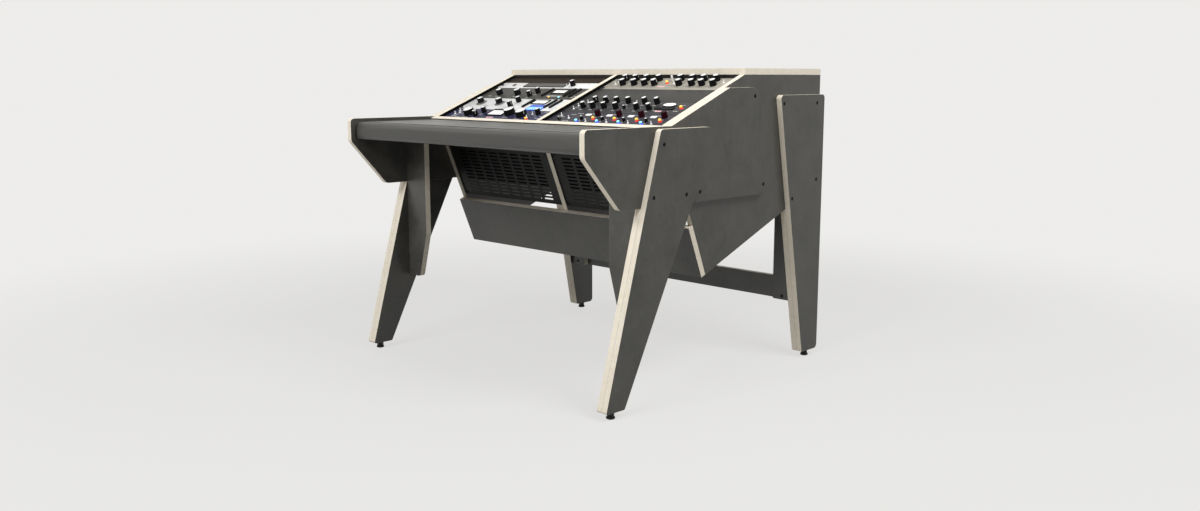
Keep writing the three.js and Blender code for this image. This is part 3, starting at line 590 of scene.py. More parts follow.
slots = {entry["node"]: entry["material_slot"] for entry in frame["record"]["subparts"]}
boardNodes = sorted(node for node, slot in slots.items() if slot == "painted_ply")
for node in boardNodes:
    makeBoard(node)
print("boards ready:", len(boardNodes))


padLook = {
    "rest": (0.999, 0.945, 0.975),   # the cover's share of the solid's size before it is filled
    "voxel": 5 * mm,
    "glued": 6 * mm,   # depth of the back that stays on the board
    "pressure": 3.2,
    "frames": 16,
    "reach": 2.6 * mm,   # no point moves further than this
}


def makePad():
    node = "armrest_pad"
    low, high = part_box(node)
    middle = (low + high) / 2
    bm = cleanMesh(frame["nodes"][node].data, False)
    shrunk = Matrix.Diagonal((*padLook["rest"], 1))
    rest = Matrix.Translation(middle) @ shrunk @ Matrix.Translation(-middle)
    bmesh.ops.transform(bm, matrix=rest, verts=bm.verts)
    pad = finishPiece("armrest-cushion", bm, ["leatherette"], slot="pad_vinyl", hides=[node], angle=180)
    remesh = pad.modifiers.new("even", "REMESH")
    remesh.mode = "VOXEL"
    remesh.voxel_size = padLook["voxel"]
    applyModifiers(pad)
    start = [vert.co.copy() for vert in pad.data.vertices]
    held = pad.vertex_groups.new(name="glued")
    glued = [vert.index for vert in pad.data.vertices if vert.co.y > high.y - padLook["glued"]]
    held.add(glued, 1.0, "REPLACE")
    cloth = pad.modifiers.new("stuffing", "CLOTH")
    cloth.settings.use_pressure = True
    cloth.settings.uniform_pressure_force = padLook["pressure"]
    cloth.settings.effector_weights.gravity = 0
    cloth.settings.vertex_group_mass = "glued"
    cloth.point_cache.frame_start = 1
    cloth.point_cache.frame_end = padLook["frames"]
    for step in range(1, padLook["frames"] + 1):
        bpy.context.scene.frame_set(step)
    applyModifiers(pad)
    bpy.context.scene.frame_set(1)
    for vert, before in zip(pad.data.vertices, start):
        moved = vert.co - before
        if moved.length > padLook["reach"]:
            vert.co = before + moved.normalized() * padLook["reach"]
    pad.vertex_groups.clear()
    for vert in pad.data.vertices:
        for axis in range(3):
            vert.co[axis] = max(low[axis], min(high[axis], vert.co[axis]))
    smooth = pad.modifiers.new("smooth", "SUBSURF")
    smooth.levels = smooth.render_levels = 1
    applyModifiers(pad)
    pad.data.materials.clear()
    pad.data.materials.append(finishes["leatherette"])
    pad.data.shade_smooth()


makePad()
print("padded edge ready")

for side in ("left", "right"):
    for node in ("vent_panel", "rack_rail_outer", "rack_rail_inner"):
        item = frame["nodes"][f"{node}_{side}"]
        item.data.materials.clear()
        item.data.materials.append(finishes["powder"])


def jointPlace(node, tilt=0.0):
    joint = next(joint for joint in frame["joints"] if joint["child"] == node)
    return Matrix.Translation(joint["pos_m"]) @ Matrix.Rotation(tilt, 4, "X")


footLook = {"padRadius": 12, "nutFoot": 9, "nutTop": 16, "nutRadius": 10.4, "stemRadius": 5,
            "stemTop": 43.5, "threadPitch": 1.5, "threadDepth": 0.7}


def makeFoot(node):
    # a rubber glide, its hexagon nut and the threaded stem; materials: rubber, steel
    place = jointPlace(node)
    radius, foot, top = footLook["padRadius"], footLook["nutFoot"], footLook["nutTop"]
    outer, stem = footLook["nutRadius"], footLook["stemRadius"]
    bm = bmesh.new()
    addTurned(bm, [(0, 0), (radius - 3, 0), (radius - 2.6, 0.8), (radius - 1.2, 0.8), (radius, 2.2),
                   (radius, 5), (radius - 1.2, 6.4), (radius - 2.4, 7), (radius - 2.4, foot), (0, foot)],
              40, 0, place)
    addTurned(bm, [(0, foot), (outer - 0.8, foot), (outer, foot + 0.6), (outer, top - 0.6),
                   (outer - 0.8, top), (0, top)], 6, 1, place)
    level = top - 0.5
    thread = [(0, level)]
    while level < footLook["stemTop"]:
        thread += [(stem - footLook["threadDepth"], level), (stem, level + footLook["threadPitch"] / 2)]
        level += footLook["threadPitch"]
    thread += [(stem - 0.8, level), (0, level)]
    addTurned(bm, thread, 24, 1, place)
    finishPiece(pieceName(node, "glide"), bm, ["rubber", "blackOxide"], body=node, slot="foot_rubber",
                hides=[node], angle=30)


for node in frame["bodies"]:
    if "levelling_foot" in node:
        makeFoot(node)
print("feet ready")

unitHeight = 44.45
plateWidth = 482.6
bayMiddle = 251.0
plateFront = -10.0
# all in millimetres; each kind of knob has a radius and a height
knobSizes = {"large": (18.0, 19.0), "skirted": (11.5, 19.0), "medium": (11.5, 19.0), "wide": (10.5, 19.0),
             "small": (9.0, 19.0), "fine": (5.5, 11.0)}
controls = {
    "lift": 0.5, "fluteDepth": 0.05, "skirt": 18.5, "skirtHeight": 4.0, "tickLength": 1.8,
    "tickWidth": 0.5, "barWidth": 9.0, "barHeight": 5.6, "bezel": 2.6, "bezelHeight": 3.0,
    "litRadius": 4.2, "litHeight": 9.0, "printHeight": 0.12, "ear": 222.0,
}


def heightOf(unit):
    return unit["units"] * unitHeight


def unitPlace(unit):
    return rackPlace @ at(unit["bay"] * bayMiddle, unit["base"] * unitHeight, plateFront)


def placed(unit, key):
    # each entry's place, from its shares of the faceplate's width and height, and what follows them
    return [(at(across * plateWidth, up * heightOf(unit)), *rest)
            for across, up, *rest in unit.get(key, [])]


def finishGear(unit, kind, bm, materials, **options):
    # a unit without this kind of thing leaves the mesh empty, and gets no piece
    if len(bm.verts):
        finishPiece(pieceName(unit["name"], kind), bm, materials, place=unitPlace(unit), **options)
    else:
        bm.free()


def flute(verts, place, low, high, steps):
    # every second column of the grip is drawn in
    inverse, share = place.inverted(), 1 - controls["fluteDepth"]
    for vert in verts:
        x, y, z = inverse @ vert.co
        isSide = math.hypot(x, y) >= 1e-5 and low * mm < z < high * mm
        if isSide and round(math.atan2(y, x) / (math.tau / steps)) % 2 == 0:
            vert.co = place @ Vector((x * share, y * share, z))


def addKnob(bm, place, kind):
    # a black grip with an inlaid cap and a pointer line; materials: grip, cap, pointer, skirt
    radius, height = knobSizes[kind]
    lift, steps = controls["lift"], 48 if radius > 9 else 32
    foot = [(0, lift), (radius - 0.8, lift), (radius - 0.3, lift + 0.5)]
    if kind == "skirted":
        skirt, rise = controls["skirt"], lift + controls["skirtHeight"]
        addTurned(bm, [(0, lift), (skirt - 0.6, lift), (skirt, lift + 0.5), (skirt - 0.9, lift + 1.3),
                       (radius + 1.8, rise - 0.8), (0, rise - 0.8)], 48, 3, place)
        for index in range(21):
            tick = turned(place, -140 + 14 * index)
            addBox(bm, (-0.25, skirt - 3.4, 1.6), (0.25, skirt - 1.2, 2.15), 2, 0, tick)
        foot = [(radius + 0.9, rise - 0.9), (radius, rise)]
    grip = foot + [(radius - 0.3, height * 0.5), (radius - 0.5, height - 1.6),
                   (radius - 0.8, height - 0.7), (radius - 1.4, height - 0.1),
                   (radius - 1.7, height - 0.05), (radius - 1.8, height - 0.45)]
    verts = addTurned(bm, grip, steps, 0, place)
    if kind != "fine":
        flute(verts, place, height * 0.3, height - 1.2, steps)
    cap = [(radius - 1.8, height - 0.45), (radius - 2.1, height - 0.2), (0, height - 0.2)]
    addTurned(bm, cap, steps, 1, place)
    addBox(bm, (-0.45, radius * 0.35, height - 0.25), (0.45, radius - 2.0, height - 0.05), 0, 0, place)
    addBox(bm, (-0.4, radius - 1.3, height * 0.45), (0.4, radius - 0.15, height - 0.9), 2, 0, place)


def addTicks(bm, place, radius, count):
    # a ring of ticks over three quarters of a turn
    half, outer = controls["tickWidth"] / 2, radius + controls["tickLength"]
    for index in range(count):
        tick = turned(place, -135 + 270 * index / (count - 1))
        addBox(bm, (-half, radius, 0), (half, outer, controls["printHeight"]), 0, 0, tick)


def addDashes(bm, place, width, chance):
    # a row of short dashes where the equipment would carry a caption
    x = -width / 2
    while x < width / 2 - 0.6:
        long = chance.uniform(0.9, 2.6)
        tall = chance.uniform(0.7, 1.3)
        addBox(bm, (x, -tall, 0), (min(x + long, width / 2), tall, controls["printHeight"]), 0, 0, place)
        x += long + chance.uniform(0.5, 0.9)


def addFrame(bm, width, height, border, place):
    # four bars round an opening
    w, h, top = width / 2, height / 2, controls["bezelHeight"]
    for low, high in (((-w, -h, 0), (w, border - h, top)), ((-w, h - border, 0), (w, h, top)),
                      ((-w, border - h, 0), (border - w, h - border, top)),
                      ((w - border, border - h, 0), (w, h - border, top))):
        addBox(bm, low, high, 0, 0.3, place)


plateLook = {"gap": 0.4, "thickness": 3, "screwAcross": 232.55, "screwInset": 6.35}


def makeFaceplate(unit):
    # a plate with ear slots and socket-head screws; materials: plate, dark
    bm = bmesh.new()
    height, half = heightOf(unit), plateWidth / 2
    gap, inset = plateLook["gap"], plateLook["screwInset"]
    addBox(bm, (-half, gap, -plateLook["thickness"]), (half, height - gap, 0), 0, 0.5)
    levels = [inset, height - inset] if unit["units"] > 1 else [height / 2]
    for side in (-1, 1):
        for level in levels:
            place = at(side * plateLook["screwAcross"], level)
            addBox(bm, (-5.6, -3.4, -0.02), (5.6, 3.4, 0.05), 1, 1.6, place)
            addScrew(bm, [(0, 0.05), (5.6, 0.05), (5.6, 0.7), (4.9, 1.1), (4.3, 1.1), (4.2, 1.9),
                          (3.6, 2.7), (2.2, 3.1), (1.6, 3.1)], 1.4, 28, 1, place)
    finishGear(unit, "faceplate", bm, [unit["paint"], "blackOxide"], slot=slots[unit["name"]],
               hides=[unit["name"]])


caseLook = {"half": 215, "back": -220, "front": -3, "gap": 1.5, "lowestGap": 7.5, "rim": 0.6,
            "firstSocket": -180, "socketStep": 30, "inlet": 178, "firstVent": -60, "ventStep": 22}


def makeChassis(unit):
    # the case behind the plate, with sockets, an inlet, screws and side vents; a blank panel has two lips
    bm = bmesh.new()
    half, back, front, rim = (caseLook[key] for key in ("half", "back", "front", "rim"))
    bottom, top = caseLook["lowestGap" if unit["base"] == 0 else "gap"], heightOf(unit) - caseLook["gap"]
    if "sockets" not in unit:
        for low in (bottom, top - 1.5):
            addBox(bm, (-half, low, front - 12), (half, low + 1.5, front), 0, 0.3)
        finishGear(unit, "lips", bm, ["caseBlack"])
        return
    middle = (bottom + top) / 2
    addBox(bm, (-half, bottom, back + rim), (half, top, front), 0, 0.8)
    addBox(bm, (rim - half, bottom + rim, back), (half - rim, top - rim, back + 1), 4)
    for index in range(unit["sockets"]):
        across = caseLook["firstSocket"] + index * caseLook["socketStep"]
        socket = turned(at(across, middle, back), 180, "Y")
        shell = [(12.5, 0), (12.5, 1.6), (11.8, 2.2), (9.4, 2.2), (9.2, 0.3), (0, 0.3)]
        addTurned(bm, shell, 28, 1, socket)
        for turn in (0, 120, 240):
            pin = turned(socket, turn) @ at(4.6, 0)
            addTurned(bm, [(0, 0.3), (1.1, 0.3), (1.1, 1.6), (0, 1.7)], 8, 2, pin)
    inlet = at(caseLook["inlet"], middle, back)
    addBox(bm, (-24, -13, -2.4), (24, 13, 0), 1, 1.0, inlet)
    addBox(bm, (-15, -9, -2.8), (15, 9, -2.2), 3, 1.0, inlet)
    for x in (-4.5, 0, 4.5):
        addBox(bm, (x - 0.8, -3, -3.2), (x + 0.8, 3, -2.6), 2, 0, inlet)
    for x in (-208, 208, -70, 70):
        for y in (bottom + 6, top - 6):
            screw = turned(at(x, y, back), 180, "Y")
            addTurned(bm, [(0, 0), (2.8, 0), (2.4, 0.9), (0, 1.2)], 12, 2, screw)
    for side in (-1, 1):
        for row in range(6):
            vent = at(side * half, 0, caseLook["firstVent"] - row * caseLook["ventStep"])
            addBox(bm, (-0.1, bottom + 8, -8), (0.1, top - 8.5, 0), 3, 0, vent)
    finishGear(unit, "chassis", bm, ["caseBlack", "knob", "zinc", "darkPrint", "greyPaint"])


def makePrinted(unit):
    # rings of ticks, rows of dashes, plain marks and a line beside each ear; materials: ink, pink, dark
    bm = bmesh.new()
    chance = random.Random(unit["name"])
    for place, kind in placed(unit, "fixed") + placed(unit, "turning"):
        if kind != "skirted":
            radius = knobSizes[kind][0]
            addTicks(bm, place, radius + 1.8, 21 if radius > 11 else 11)
            addDashes(bm, place @ at(0, -radius - 6), radius * 1.5, chance)
    for place, width in placed(unit, "captions"):
        addDashes(bm, place, width, chance)
    for place, width, tall, material in placed(unit, "marks"):
        addBox(bm, (-width / 2, -tall / 2, 0), (width / 2, tall / 2, 0.14), material, 0, place)
    for x in (-controls["ear"], controls["ear"]):
        addBox(bm, (x - 0.4, 1, 0), (x + 0.4, heightOf(unit) - 1, 0.1), 2)
    finishGear(unit, "print", bm, [unit.get("ink", "print"), "pinkPrint", "darkPrint"])


def makeFixed(unit):
    # knobs that are one piece with the plate, each at its own setting
    bm = bmesh.new()
    for index, (place, kind) in enumerate(placed(unit, "fixed")):
        addKnob(bm, turned(place, (index * 47) % 240 - 120), kind)
    finishGear(unit, "fixed-knobs", bm, ["knob", "cap", "print"])


def makeLit(unit):
    # tall lit buttons in two colors and small round lamps
    lit, lamps = placed(unit, "lit"), placed(unit, "lamps")
    colors = sorted({color for entry in lit + lamps for color in entry[1:]})
    radius, height = controls["litRadius"], controls["litHeight"]
    bm = bmesh.new()
    for place, lower, upper in lit:
        foot, cap = 1 + colors.index(lower), 1 + colors.index(upper)
        addTurned(bm, [(0, 0), (radius + 2.2, 0), (radius + 2.2, 0.6), (radius, 1.6)], 24, foot, place)
        addTurned(bm, [(radius, 0), (radius, height * 0.5)], 24, foot, place)
        addTurned(bm, [(radius, height * 0.5), (radius, height - 1.4), (radius - 0.4, height - 0.6),
                       (radius - 1.4, height - 0.1), (0, height)], 24, cap, place)
    for place, color in lamps:
        ring = [(0, 0), (4.6, 0), (4.6, 0.7), (4.1, 1.0), (3.6, 1.0), (3.5, 0.4), (0, 0.4)]
        lens = [(3.5, 0.4), (3.5, 1.8), (3.0, 2.8), (2.0, 3.5), (0, 3.8)]
        addTurned(bm, ring, 24, 0, place)
        addTurned(bm, lens, 24, 1 + colors.index(color), place)
    finishGear(unit, "lamps", bm, ["blackOxide", *colors])


def makeKeys(unit):
    # white keys and the oval meter; materials: white, dark
    bm = bmesh.new()
    for (place,) in placed(unit, "keys"):
        addBox(bm, (-10.4, -5.4, 0), (10.4, 5.4, 0.8), 1, 0.3, place)
        addBox(bm, (-9.9, -4.9, 0.5), (9.9, 4.9, 4.0), 0, 1.0, place)
    for (place,) in placed(unit, "oval"):
        wide = place @ Matrix.Diagonal((2, 1, 1, 1))
        ring = [(0, 0), (12.0, 0), (12.0, 2.6), (11.8, 3.4), (11.4, 3.8), (11.1, 3.5)]
        addTurned(bm, ring, 64, 1, wide)
        addTurned(bm, [(11.2, 3.3), (11.1, 3.5), (8, 3.9), (0, 4.0)], 64, 0, wide)
        for index in range(9):
            tick = turned(place @ at(0, -9, 3.9), 40 - 10 * index)
            addBox(bm, (-0.3, 13, -0.2), (0.3, 15.5, 0.1), 1, 0, tick)
    finishGear(unit, "keys", bm, ["keyGlow", "blackOxide"])


def makeMeters(unit):
    # bezel, face, scale, needle and, on one unit, a grey bar above it; materials: bezel, face, dark, red,
    # grey bar
    bm = bmesh.new()
    border = controls["bezel"]
    for place, wide, tall, *greyBar in placed(unit, "meters"):
        width, height = wide * plateWidth, tall * heightOf(unit)
        w, h, reach = width / 2, height / 2, height * 0.62
        addFrame(bm, width, height, border, place)
        addBox(bm, (border - w, border - h, 0), (w - border, h - border, 1.3), 1, 0, place)
        pivot = place @ at(0, -height * 0.42, 1.3)
        for index in range(13):
            turn = math.atan((w - border - 4) / reach) * (1 - index / 6)
            near = reach / max(0.6, math.cos(turn) ** 0.5)
            far = near + (3.0 if index % 3 == 0 else 1.8)
            addBox(bm, (-0.25, near, 0), (0.25, far, 0.15), 3 if index > 9 else 2, 0,
                   turned(pivot, math.degrees(turn)))
        addBox(bm, (-0.3, height * 0.1, 0.3), (0.3, reach * 0.95, 0.6), 2, 0, turned(pivot, 26))
        for tall in greyBar:
            addBox(bm, (-w, h, 0), (w, h + tall, controls["bezelHeight"]), 4, 0.4, place)
    finishGear(unit, "meter", bm, ["knob", "meterFace", "darkPrint", "redZone", "plainGrey"])


def makeBars(unit):
    # upright black strips beside the meter, each with two raised ribs
    bm = bmesh.new()
    wide, tall = controls["barWidth"] / 2, controls["barHeight"]
    for place, long in placed(unit, "bars"):
        half = long * heightOf(unit) / 2
        addBox(bm, (-wide, -half, 0), (wide, half, tall), 0, 1.6, place)
        for x in (-1.9, 1.9):
            addBox(bm, (x - 0.7, 3 - half, tall - 0.3), (x + 0.7, half - 3, tall + 0.4), 0, 0.3, place)
    finishGear(unit, "strips", bm, ["knob"])


def makeDisplay(unit):
    # a window in a frame, its upper and lower part in their own finish
    border = 1.4
    for place, kind, wide, tall, *looks, split in placed(unit, "displays"):
        width, height = wide * plateWidth, tall * heightOf(unit)
        w, h, level = width / 2 - border, height / 2 - border, height * (split - 0.5)
        bm = bmesh.new()
        addFrame(bm, width, height, border, place)
        addBox(bm, (-w, level, 0), (w, h, 2.4), 1, 0, place)
        addBox(bm, (-w, -h, 0), (w, level, 2.4), 2, 0, place)
        finishGear(unit, kind, bm, looks)


def makeSwitches(unit):
    # small bright toggle switches and a round socket; materials: bright, grey
    bm = bmesh.new()
    for (place,) in placed(unit, "toggles"):
        addTurned(bm, [(0, 0), (3.6, 0), (3.6, 0.6), (2.8, 0.8), (2.8, 1.6), (0, 1.6)], 20, 0, place)
        lever = [(0, 0.5), (1.0, 1.0), (1.1, 4.0), (1.5, 7.6), (1.2, 8.6), (0, 9.0)]
        addTurned(bm, lever, 16, 0, turned(place, -12, "X"))
    for (place,) in placed(unit, "socket"):
        addTurned(bm, [(3.0, 1.0), (3.2, 2.3), (6.6, 2.5), (7.5, 2.1), (7.5, 0), (0, 0)], 40, 1, place)
        addTurned(bm, [(0, 1.0), (3.0, 1.0)], 40, 1, place)
    finishGear(unit, "switches", bm, ["brightSteel", "skirtGrey"])


def makeTurning(unit):
    # each knob that turns rides on its own body; materials: grip, cap, pointer, skirt, spindle
    isRed = unit["name"] == "microphone_preamp"
    looks = ["redKnob", "knob", "redKnob"] if isRed else ["knob", "cap", "print"]
    for index, (_, kind) in enumerate(placed(unit, "turning"), 1):
        node = f"{unit['name']}_knob_{index}"
        place = jointPlace(node, desk["rackTilt"])
        bm = bmesh.new()
        addKnob(bm, turned(place, (index * 67) % 200 - 100), kind)
        addTurned(bm, [(0, -8.5), (3, -8.5), (3, 0.6), (0, 0.6)], 20, 4, place)
        finishPiece(pieceName(node, "grip"), bm, [*looks, "skirtGrey", "zinc"], body=node,
                    slot="red_plastic" if isRed else "knob_plastic", hides=[node])


def makeLever():
    # the long bright lever of the upper equaliser, on its own body, and its nut on the plate
    node = "dual_equaliser_toggle"
    place = jointPlace(node, desk["rackTilt"])
    bm = bmesh.new()
    addTurned(bm, [(0, -4.5), (1.6, -4.3), (2.4, -1), (2.5, 5), (3.1, 12), (3.3, 14.6), (2.9, 15.8),
                   (1.6, 16.4), (0, 16.5)], 28, 0, place)
    finishPiece("dual-equaliser-lever", bm, ["brightSteel"], body=node, slot="chrome", hides=[node])
    bm = bmesh.new()
    addTurned(bm, [(4.6, 0.1), (6.6, 0.1), (6.6, 2.0), (6.2, 2.4), (4.6, 2.4), (4.6, 0.1)], 6, 0, place)
    addTurned(bm, [(3.9, 0.1), (3.9, 3.2), (4.3, 3.2), (4.8, 2.8), (4.8, 0.1), (3.9, 0.1)], 28, 0, place)
    finishPiece("dual-equaliser-lever-nut", bm, ["zinc"])


def inRow(up, places, *rest):
    return [(across, up, *rest) for across in places]


warm, cool = ("redLamp", "yellowLamp"), ("blueLamp", "cyanLamp")
meterBars = inRow(0.57, (0.124, 0.337, 0.388), 0.67)
rackUnits = [
    {"name": "channel_strip", "bay": -1, "base": 0, "units": 2, "paint": "navy", "sockets": 5,
     "fixed": [(-0.187, 0.41, "small"), (-0.161, 0.73, "small"), (0.38, 0.73, "small")],
     "turning": [(-0.28, 0.53, "large"), (0.12, 0.64, "large"), (0.255, 0.54, "large")],
     "lit": [(0.355, 0.24, *warm)], "meters": [(-0.022, 0.705, 0.157, 0.45, 6.0)],
     "toggles": [(-0.435, 0.52), (-0.44, 0.8), (-0.405, 0.62), (-0.41, 0.9), (0.328, 0.7),
                 (0.325, 0.42)],
     "captions": [(-0.42, 0.35, 26), (-0.4, 0.46, 18), (-0.38, 0.75, 16), (-0.36, 0.88, 22),
                  (0.32, 0.9, 20), (-0.42, 0.15, 30), (-0.37, 0.58, 22), (-0.35, 0.26, 16),
                  (-0.42, 0.7, 14), (-0.33, 0.8, 14), (0.42, 0.4, 22), (0.43, 0.55, 14), (0.2, 0.2, 30),
                  (0.42, 0.9, 16)],
     "marks": [(-0.027, 0.32, 34, 6, 1), (-0.43, 0.45, 2.2, 9, 0), (-0.405, 0.6, 2.2, 12, 0),
               (-0.39, 0.33, 2, 9, 0), (-0.38, 0.86, 2.2, 11, 0), (-0.415, 0.8, 8, 2.2, 0),
               (-0.36, 0.66, 8, 2.2, 0)]},
    {"name": "silver_compressor", "bay": -1, "base": 2, "units": 2, "paint": "silver", "sockets": 4,
     "ink": "darkPrint", "meters": [(0.215, 0.715, 0.14, 0.35)], "bars": meterBars,
     "turning": [(-0.364, 0.54, "skirted"), (-0.167, 0.53, "skirted"), (-0.008, 0.3, "small"),
                 (-0.002, 0.71, "small")],
     "displays": [(0.262, 0.22, "display", 0.145, 0.44, "blueDeep", "blueDeep", "paleGlow", 0.55)],
     "captions": [(-0.44, 0.3, 12), (-0.26, 0.3, 22), (-0.07, 0.12, 20), (0.43, 0.1, 12),
                  (0.435, 0.2, 12), (0.44, 0.3, 12)]},
    {"name": "grey_compressor", "bay": -1, "base": 4, "units": 2, "paint": "greyPaint", "sockets": 4,
     "meters": [(0.23, 0.66, 0.133, 0.33)], "bars": meterBars,
     "turning": [(-0.332, 0.37, "medium"), (-0.145, 0.38, "medium"), (0.0, 0.27, "small"),
                 (0.031, 0.56, "small")],
     "lamps": [(0.203, 0.18, "yellowLamp"), (0.3, 0.18, "cyanLamp")],
     "captions": [(-0.41, 0.2, 16), (0.42, 0.2, 12), (0.43, 0.3, 10)],
     "marks": [(0.235, 0.3, 70, 3.0, 0)]},
    {"name": "audio_interface", "bay": -1, "base": 6, "units": 1, "paint": "white", "sockets": 9,
     "ink": "darkPrint", "turning": [(0.246, 0.52, "small")], "socket": [(-0.355, 0.52)],
     "displays": [(-0.026, 0.5, "display", 0.41, 0.64, "displayGlass", "displayGlass", "displayGlass",
                   0.5)],
     "toggles": [(0.197, 0.7), (0.2, 0.34)], "captions": [(-0.44, 0.4, 12), (0.38, 0.7, 14)]},
    {"name": "blank_panel_left", "bay": -1, "base": 7, "units": 1, "paint": "brownBlack"},
    {"name": "microphone_preamp", "bay": 1, "base": 0, "units": 2, "paint": "plumGrey", "sockets": 5,
     "fixed": [(-0.4, 0.37, "fine")] + inRow(0.46, (-0.218, -0.042, 0.134, 0.31), "fine"),
     "keys": inRow(0.76, (-0.21, -0.034, 0.142, 0.318)),
     "turning": inRow(0.8, (-0.136, 0.042, 0.22, 0.398), "small"),
     "lit": inRow(0.49, (-0.126, 0.052, 0.23, 0.408), *warm)
     + inRow(0.25, (-0.23, -0.054, 0.123, 0.3), *cool),
     "toggles": [(-0.44, 0.7), (-0.34, 0.5), (-0.16, 0.3), (0.015, 0.3), (0.19, 0.3), (0.37, 0.3)],
     "captions": [(-0.42, 0.6, 22), (-0.35, 0.8, 22), (-0.34, 0.3, 26), (-0.3, 0.9, 24)]
     + inRow(0.9, (-0.2, -0.02, 0.15, 0.33), 18) + inRow(0.12, (-0.17, 0.01, 0.18, 0.36), 22)},
    {"name": "equaliser", "bay": 1, "base": 2, "units": 2, "paint": "charcoal", "sockets": 4,
     "fixed": inRow(0.85, (-0.333, -0.242, -0.149, -0.053, 0.081, 0.179), "small")
     + inRow(0.39, (-0.365, -0.282, -0.185, -0.086, 0.086, 0.186), "small") + [(-0.018, 0.4, "fine")],
     "lit": [(0.414, 0.51, *warm)], "oval": [(0.298, 0.71)],
     "displays": [(0.293, 0.46, "slot", 0.145, 0.13, "knob", "screwBlack", "screwBlack", 0.5)],
     "toggles": [(-0.397, 0.8), (0.014, 0.85), (-0.43, 0.5), (0.035, 0.6), (-0.43, 0.25)],
     "captions": [(-0.42, 0.36, 18), (-0.41, 0.65, 18), (0.24, 0.3, 14), (0.4, 0.3, 18),
                  (0.4, 0.75, 12)],
     "marks": [(0.295, 0.26, 44, 6.5, 1), (0.427, 0.8, 1.2, 14, 2)]},
    {"name": "blank_panel_right", "bay": 1, "base": 4, "units": 2, "paint": "plainGrey"},
    {"name": "dual_equaliser", "bay": 1, "base": 6, "units": 2, "paint": "beige", "sockets": 4,
     "ink": "darkPrint",
     "fixed": inRow(0.78, (-0.387, -0.298, -0.202, -0.099, 0.081, 0.177, 0.266, 0.361), "wide")
     + inRow(0.38, (-0.353, -0.253, -0.164, -0.081, 0.12, 0.221, 0.3, 0.387), "wide"),
     "lit": [(0.0, 0.53, *warm)], "toggles": [(-0.43, 0.62), (-0.425, 0.4), (0.06, 0.5), (0.435, 0.6)],
     "captions": [(-0.43, 0.25, 16), (0.04, 0.35, 14), (0.44, 0.35, 10)],
     "marks": [(-0.012, 0.26, 30, 5.5, 1)]},
]
for unit in rackUnits:
    for make in (makeFaceplate, makeChassis, makeTurning, makeFixed, makeLit, makeKeys, makeMeters,
                 makeBars, makeDisplay, makeSwitches):
        make(unit)
    if "sockets" in unit:
        makePrinted(unit)
makeLever()
print("equipment ready")

trimLook = {
    "wall": 241.95, "shadeSheet": 0.3, "shadeSheetFoot": 0.5, "shadeSheetTop": 355.4, "recess": 9.7,
    "shadeSheetFront": -0.4, "headerHalf": 241.8, "headerFront": 139.8, "headerBack": 141.2,
    "headerFoot": 866, "shelf": 881.8,
    "screwAcross": 232, "ventFront": 4, "screwLow": -279.6, "screwHigh": -114.6,
}


def makeTrim():
    # a thin black sheet on the walls of both bays, painted shade for the recess in front of the
    # faceplates, a black strip that closes the gap under the shelf, its black partly painted shade for
    # the recess there, and the screws at the corners of the vent panels
    shadeSheet, header, screws = bmesh.new(), bmesh.new(), bmesh.new()
    for bay in (-1, 1):
        middle, half = bay * bayMiddle, trimLook["headerHalf"]
        for side in (-1, 1):
            across = middle + side * trimLook["screwAcross"]
            wall = middle + side * trimLook["wall"]
            inner = wall - side * trimLook["shadeSheet"]
            # a thin black sheet over the wall in front of the faceplates, painted shade for the recess
            addBox(shadeSheet, (min(wall, inner), trimLook["shadeSheetFoot"], -trimLook["recess"]),
                   (max(wall, inner), trimLook["shadeSheetTop"], trimLook["shadeSheetFront"]))
            for up in (trimLook["screwLow"], trimLook["screwHigh"]):
                place = turned(at(across, trimLook["ventFront"], up), 90, "X")
                head = [(0, 0.05), (4.8, 0.05), (4.8, 0.7), (3.9, 2), (2.4, 2.6), (1.8, 2.6)]
                addScrew(screws, head, 1.4, 24, 0, place)
        # a strip that closes the gap, in a black that is partly painted shade for the recess under the
        # shelf
        addBox(header, (middle - half, trimLook["headerFront"], trimLook["headerFoot"]),
               (middle + half, trimLook["headerBack"], trimLook["shelf"]))
    finishPiece("bay-lining", shadeSheet, ["caseBlack"], place=rackPlace)
    finishPiece("bay-header", header, ["powder"])
    finishPiece("vent-panel-screws", screws, ["screwBlack"], place=rackPlace)


makeTrim()
print("trim ready")


room = {
    "worldStrength": 0.18,
    "background": (0.848, 0.842, 0.827, 1),
    "floorTone": (0.53, 0.53, 0.52, 1),
    "floorBounce": (0.32, 0.32, 0.31, 1),   # what the floor sends back to the desk
    "floorGlow": 0.76,
    "fadeFrom": 1.1,   # the floor begins to fade at this distance from the desk's middle
    "fadeTo": 3.2,
    "floorRadius": 14,
}
# place, target, size, power
lamps = {
    "overheadSoftbox": ((0, 0.3, 3.4), (0, -0.1, 0.6), (3.0, 2.4), 22),
    "frontSoftbox": ((0.5, -4.5, 3.4), (0, 0, 0.4), (2.8, 1.6), 180),
    "lowSoftbox": ((-1.6, -4.6, 0.9), (0, 0, 0.4), (2.6, 1.2), 26),
    "rightSoftbox": ((2.6, 0.0, 3.3), (0, 0, 0.4), (1.8, 1.4), 98),
}
cameraLook = {"lens": 32.11, "place": (2.3989, -2.3332, 0.8752), "turn": (80.53, 0, 45)}


def seenBy(tree):
    # 1 for rays that show a surface, 0 for those that light another one
    rays = addNode(tree, "ShaderNodeLightPath").outputs
    return combine(tree, "MAXIMUM", rays["Is Camera Ray"],
                   combine(tree, "MAXIMUM", rays["Is Glossy Ray"], rays["Is Transmission Ray"]))


def mixShaders(tree, factor, first, second):
    inputs = {"Fac": factor, 1: first.outputs[0], 2: second.outputs[0]}
    return addNode(tree, "ShaderNodeMixShader", inputs).outputs[0]


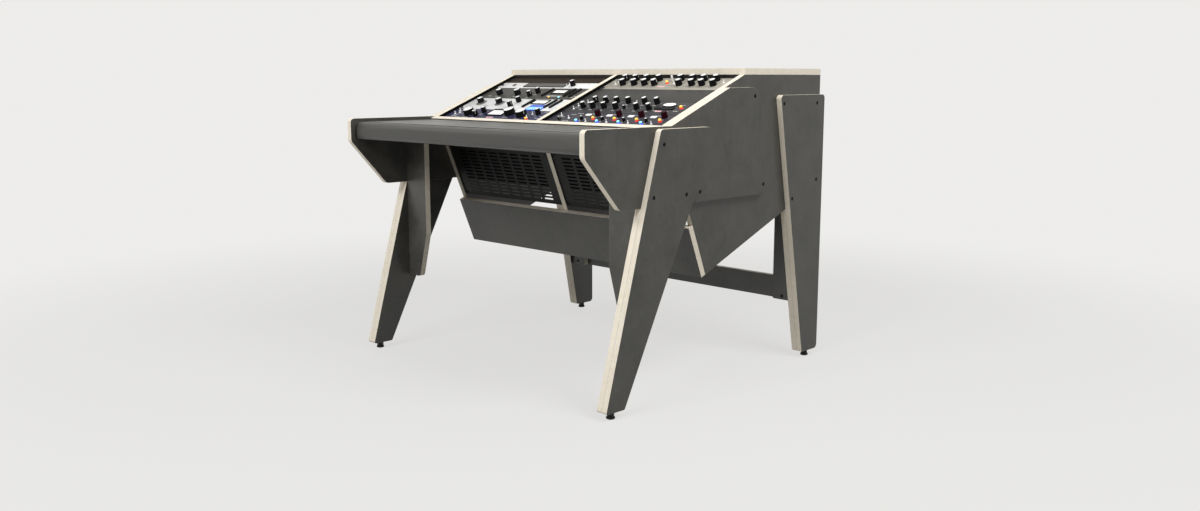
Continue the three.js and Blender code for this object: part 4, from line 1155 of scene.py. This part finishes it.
def makeWorld():
    scene = bpy.context.scene
    scene.view_settings.view_transform = "Standard"
    world = bpy.data.worlds.new("studio")
    scene.world = world
    world.use_nodes = True
    tree = world.node_tree
    tree.nodes.clear()
    looks = ((1, 1, 1, 1), room["worldStrength"]), (room["background"], 1.0)
    lit, shown = (addNode(tree, "ShaderNodeBackground", {"Color": color, "Strength": strength})
                  for color, strength in looks)
    mixed = mixShaders(tree, seenBy(tree), lit, shown)
    addNode(tree, "ShaderNodeOutputWorld", {"Surface": mixed})


def makeFloor():
    # the floor is shown near the background's white, and far from the desk it becomes the background
    material, tree, shader, place = startMaterial("floorPaint", 0, 0.8, room["floorTone"][:3], 0.0)
    seen = seenBy(tree)
    tone = twoTone(tree, cloudMask(tree, place, 0.8, 5.0), room["floorTone"], 0.985, 1)
    plug(tree, shader, "Base Color", blendColors(tree, seen, room["floorBounce"], tone))
    distance = addNode(tree, "ShaderNodeVectorMath", {0: place}, operation="LENGTH").outputs["Value"]
    limits = {"Value": distance, "From Min": room["fadeFrom"], "From Max": room["fadeTo"]}
    far = addNode(tree, "ShaderNodeMapRange", limits, interpolation_type="SMOOTHSTEP").outputs["Result"]
    glowShare = times(tree, seen, ramp(tree, far, 0, 1, room["floorGlow"], 1))
    glow = addNode(tree, "ShaderNodeEmission", {"Color": room["background"], "Strength": 1.0})
    plug(tree, tree.nodes["Material Output"], "Surface", mixShaders(tree, glowShare, shader, glow))
    bm = bmesh.new()
    bmesh.ops.create_circle(bm, cap_ends=True, segments=96, radius=room["floorRadius"])
    floor = addObject("studioFloor", toMesh(bm, "studioFloor"))
    floor.data.materials.append(material)


def makeLamps():
    for name, (place, target, size, power) in lamps.items():
        data = bpy.data.lights.new(name, "AREA")
        data.shape = "RECTANGLE"
        data.size, data.size_y = size
        data.energy = power
        lamp = addObject(name, data)
        lamp.location = place
        lamp.rotation_euler = (Vector(target) - Vector(place)).to_track_quat("-Z", "Y").to_euler()


def makeCamera():
    data = bpy.data.cameras.new("studioCamera")
    data.sensor_width = 36
    data.lens = cameraLook["lens"]
    camera = addObject("studioCamera", data)
    camera.location = cameraLook["place"]
    camera.rotation_euler = [math.radians(turn) for turn in cameraLook["turn"]]
    bpy.context.scene.camera = camera


makeWorld()
makeFloor()
makeLamps()
makeCamera()
print("room, light and camera ready")
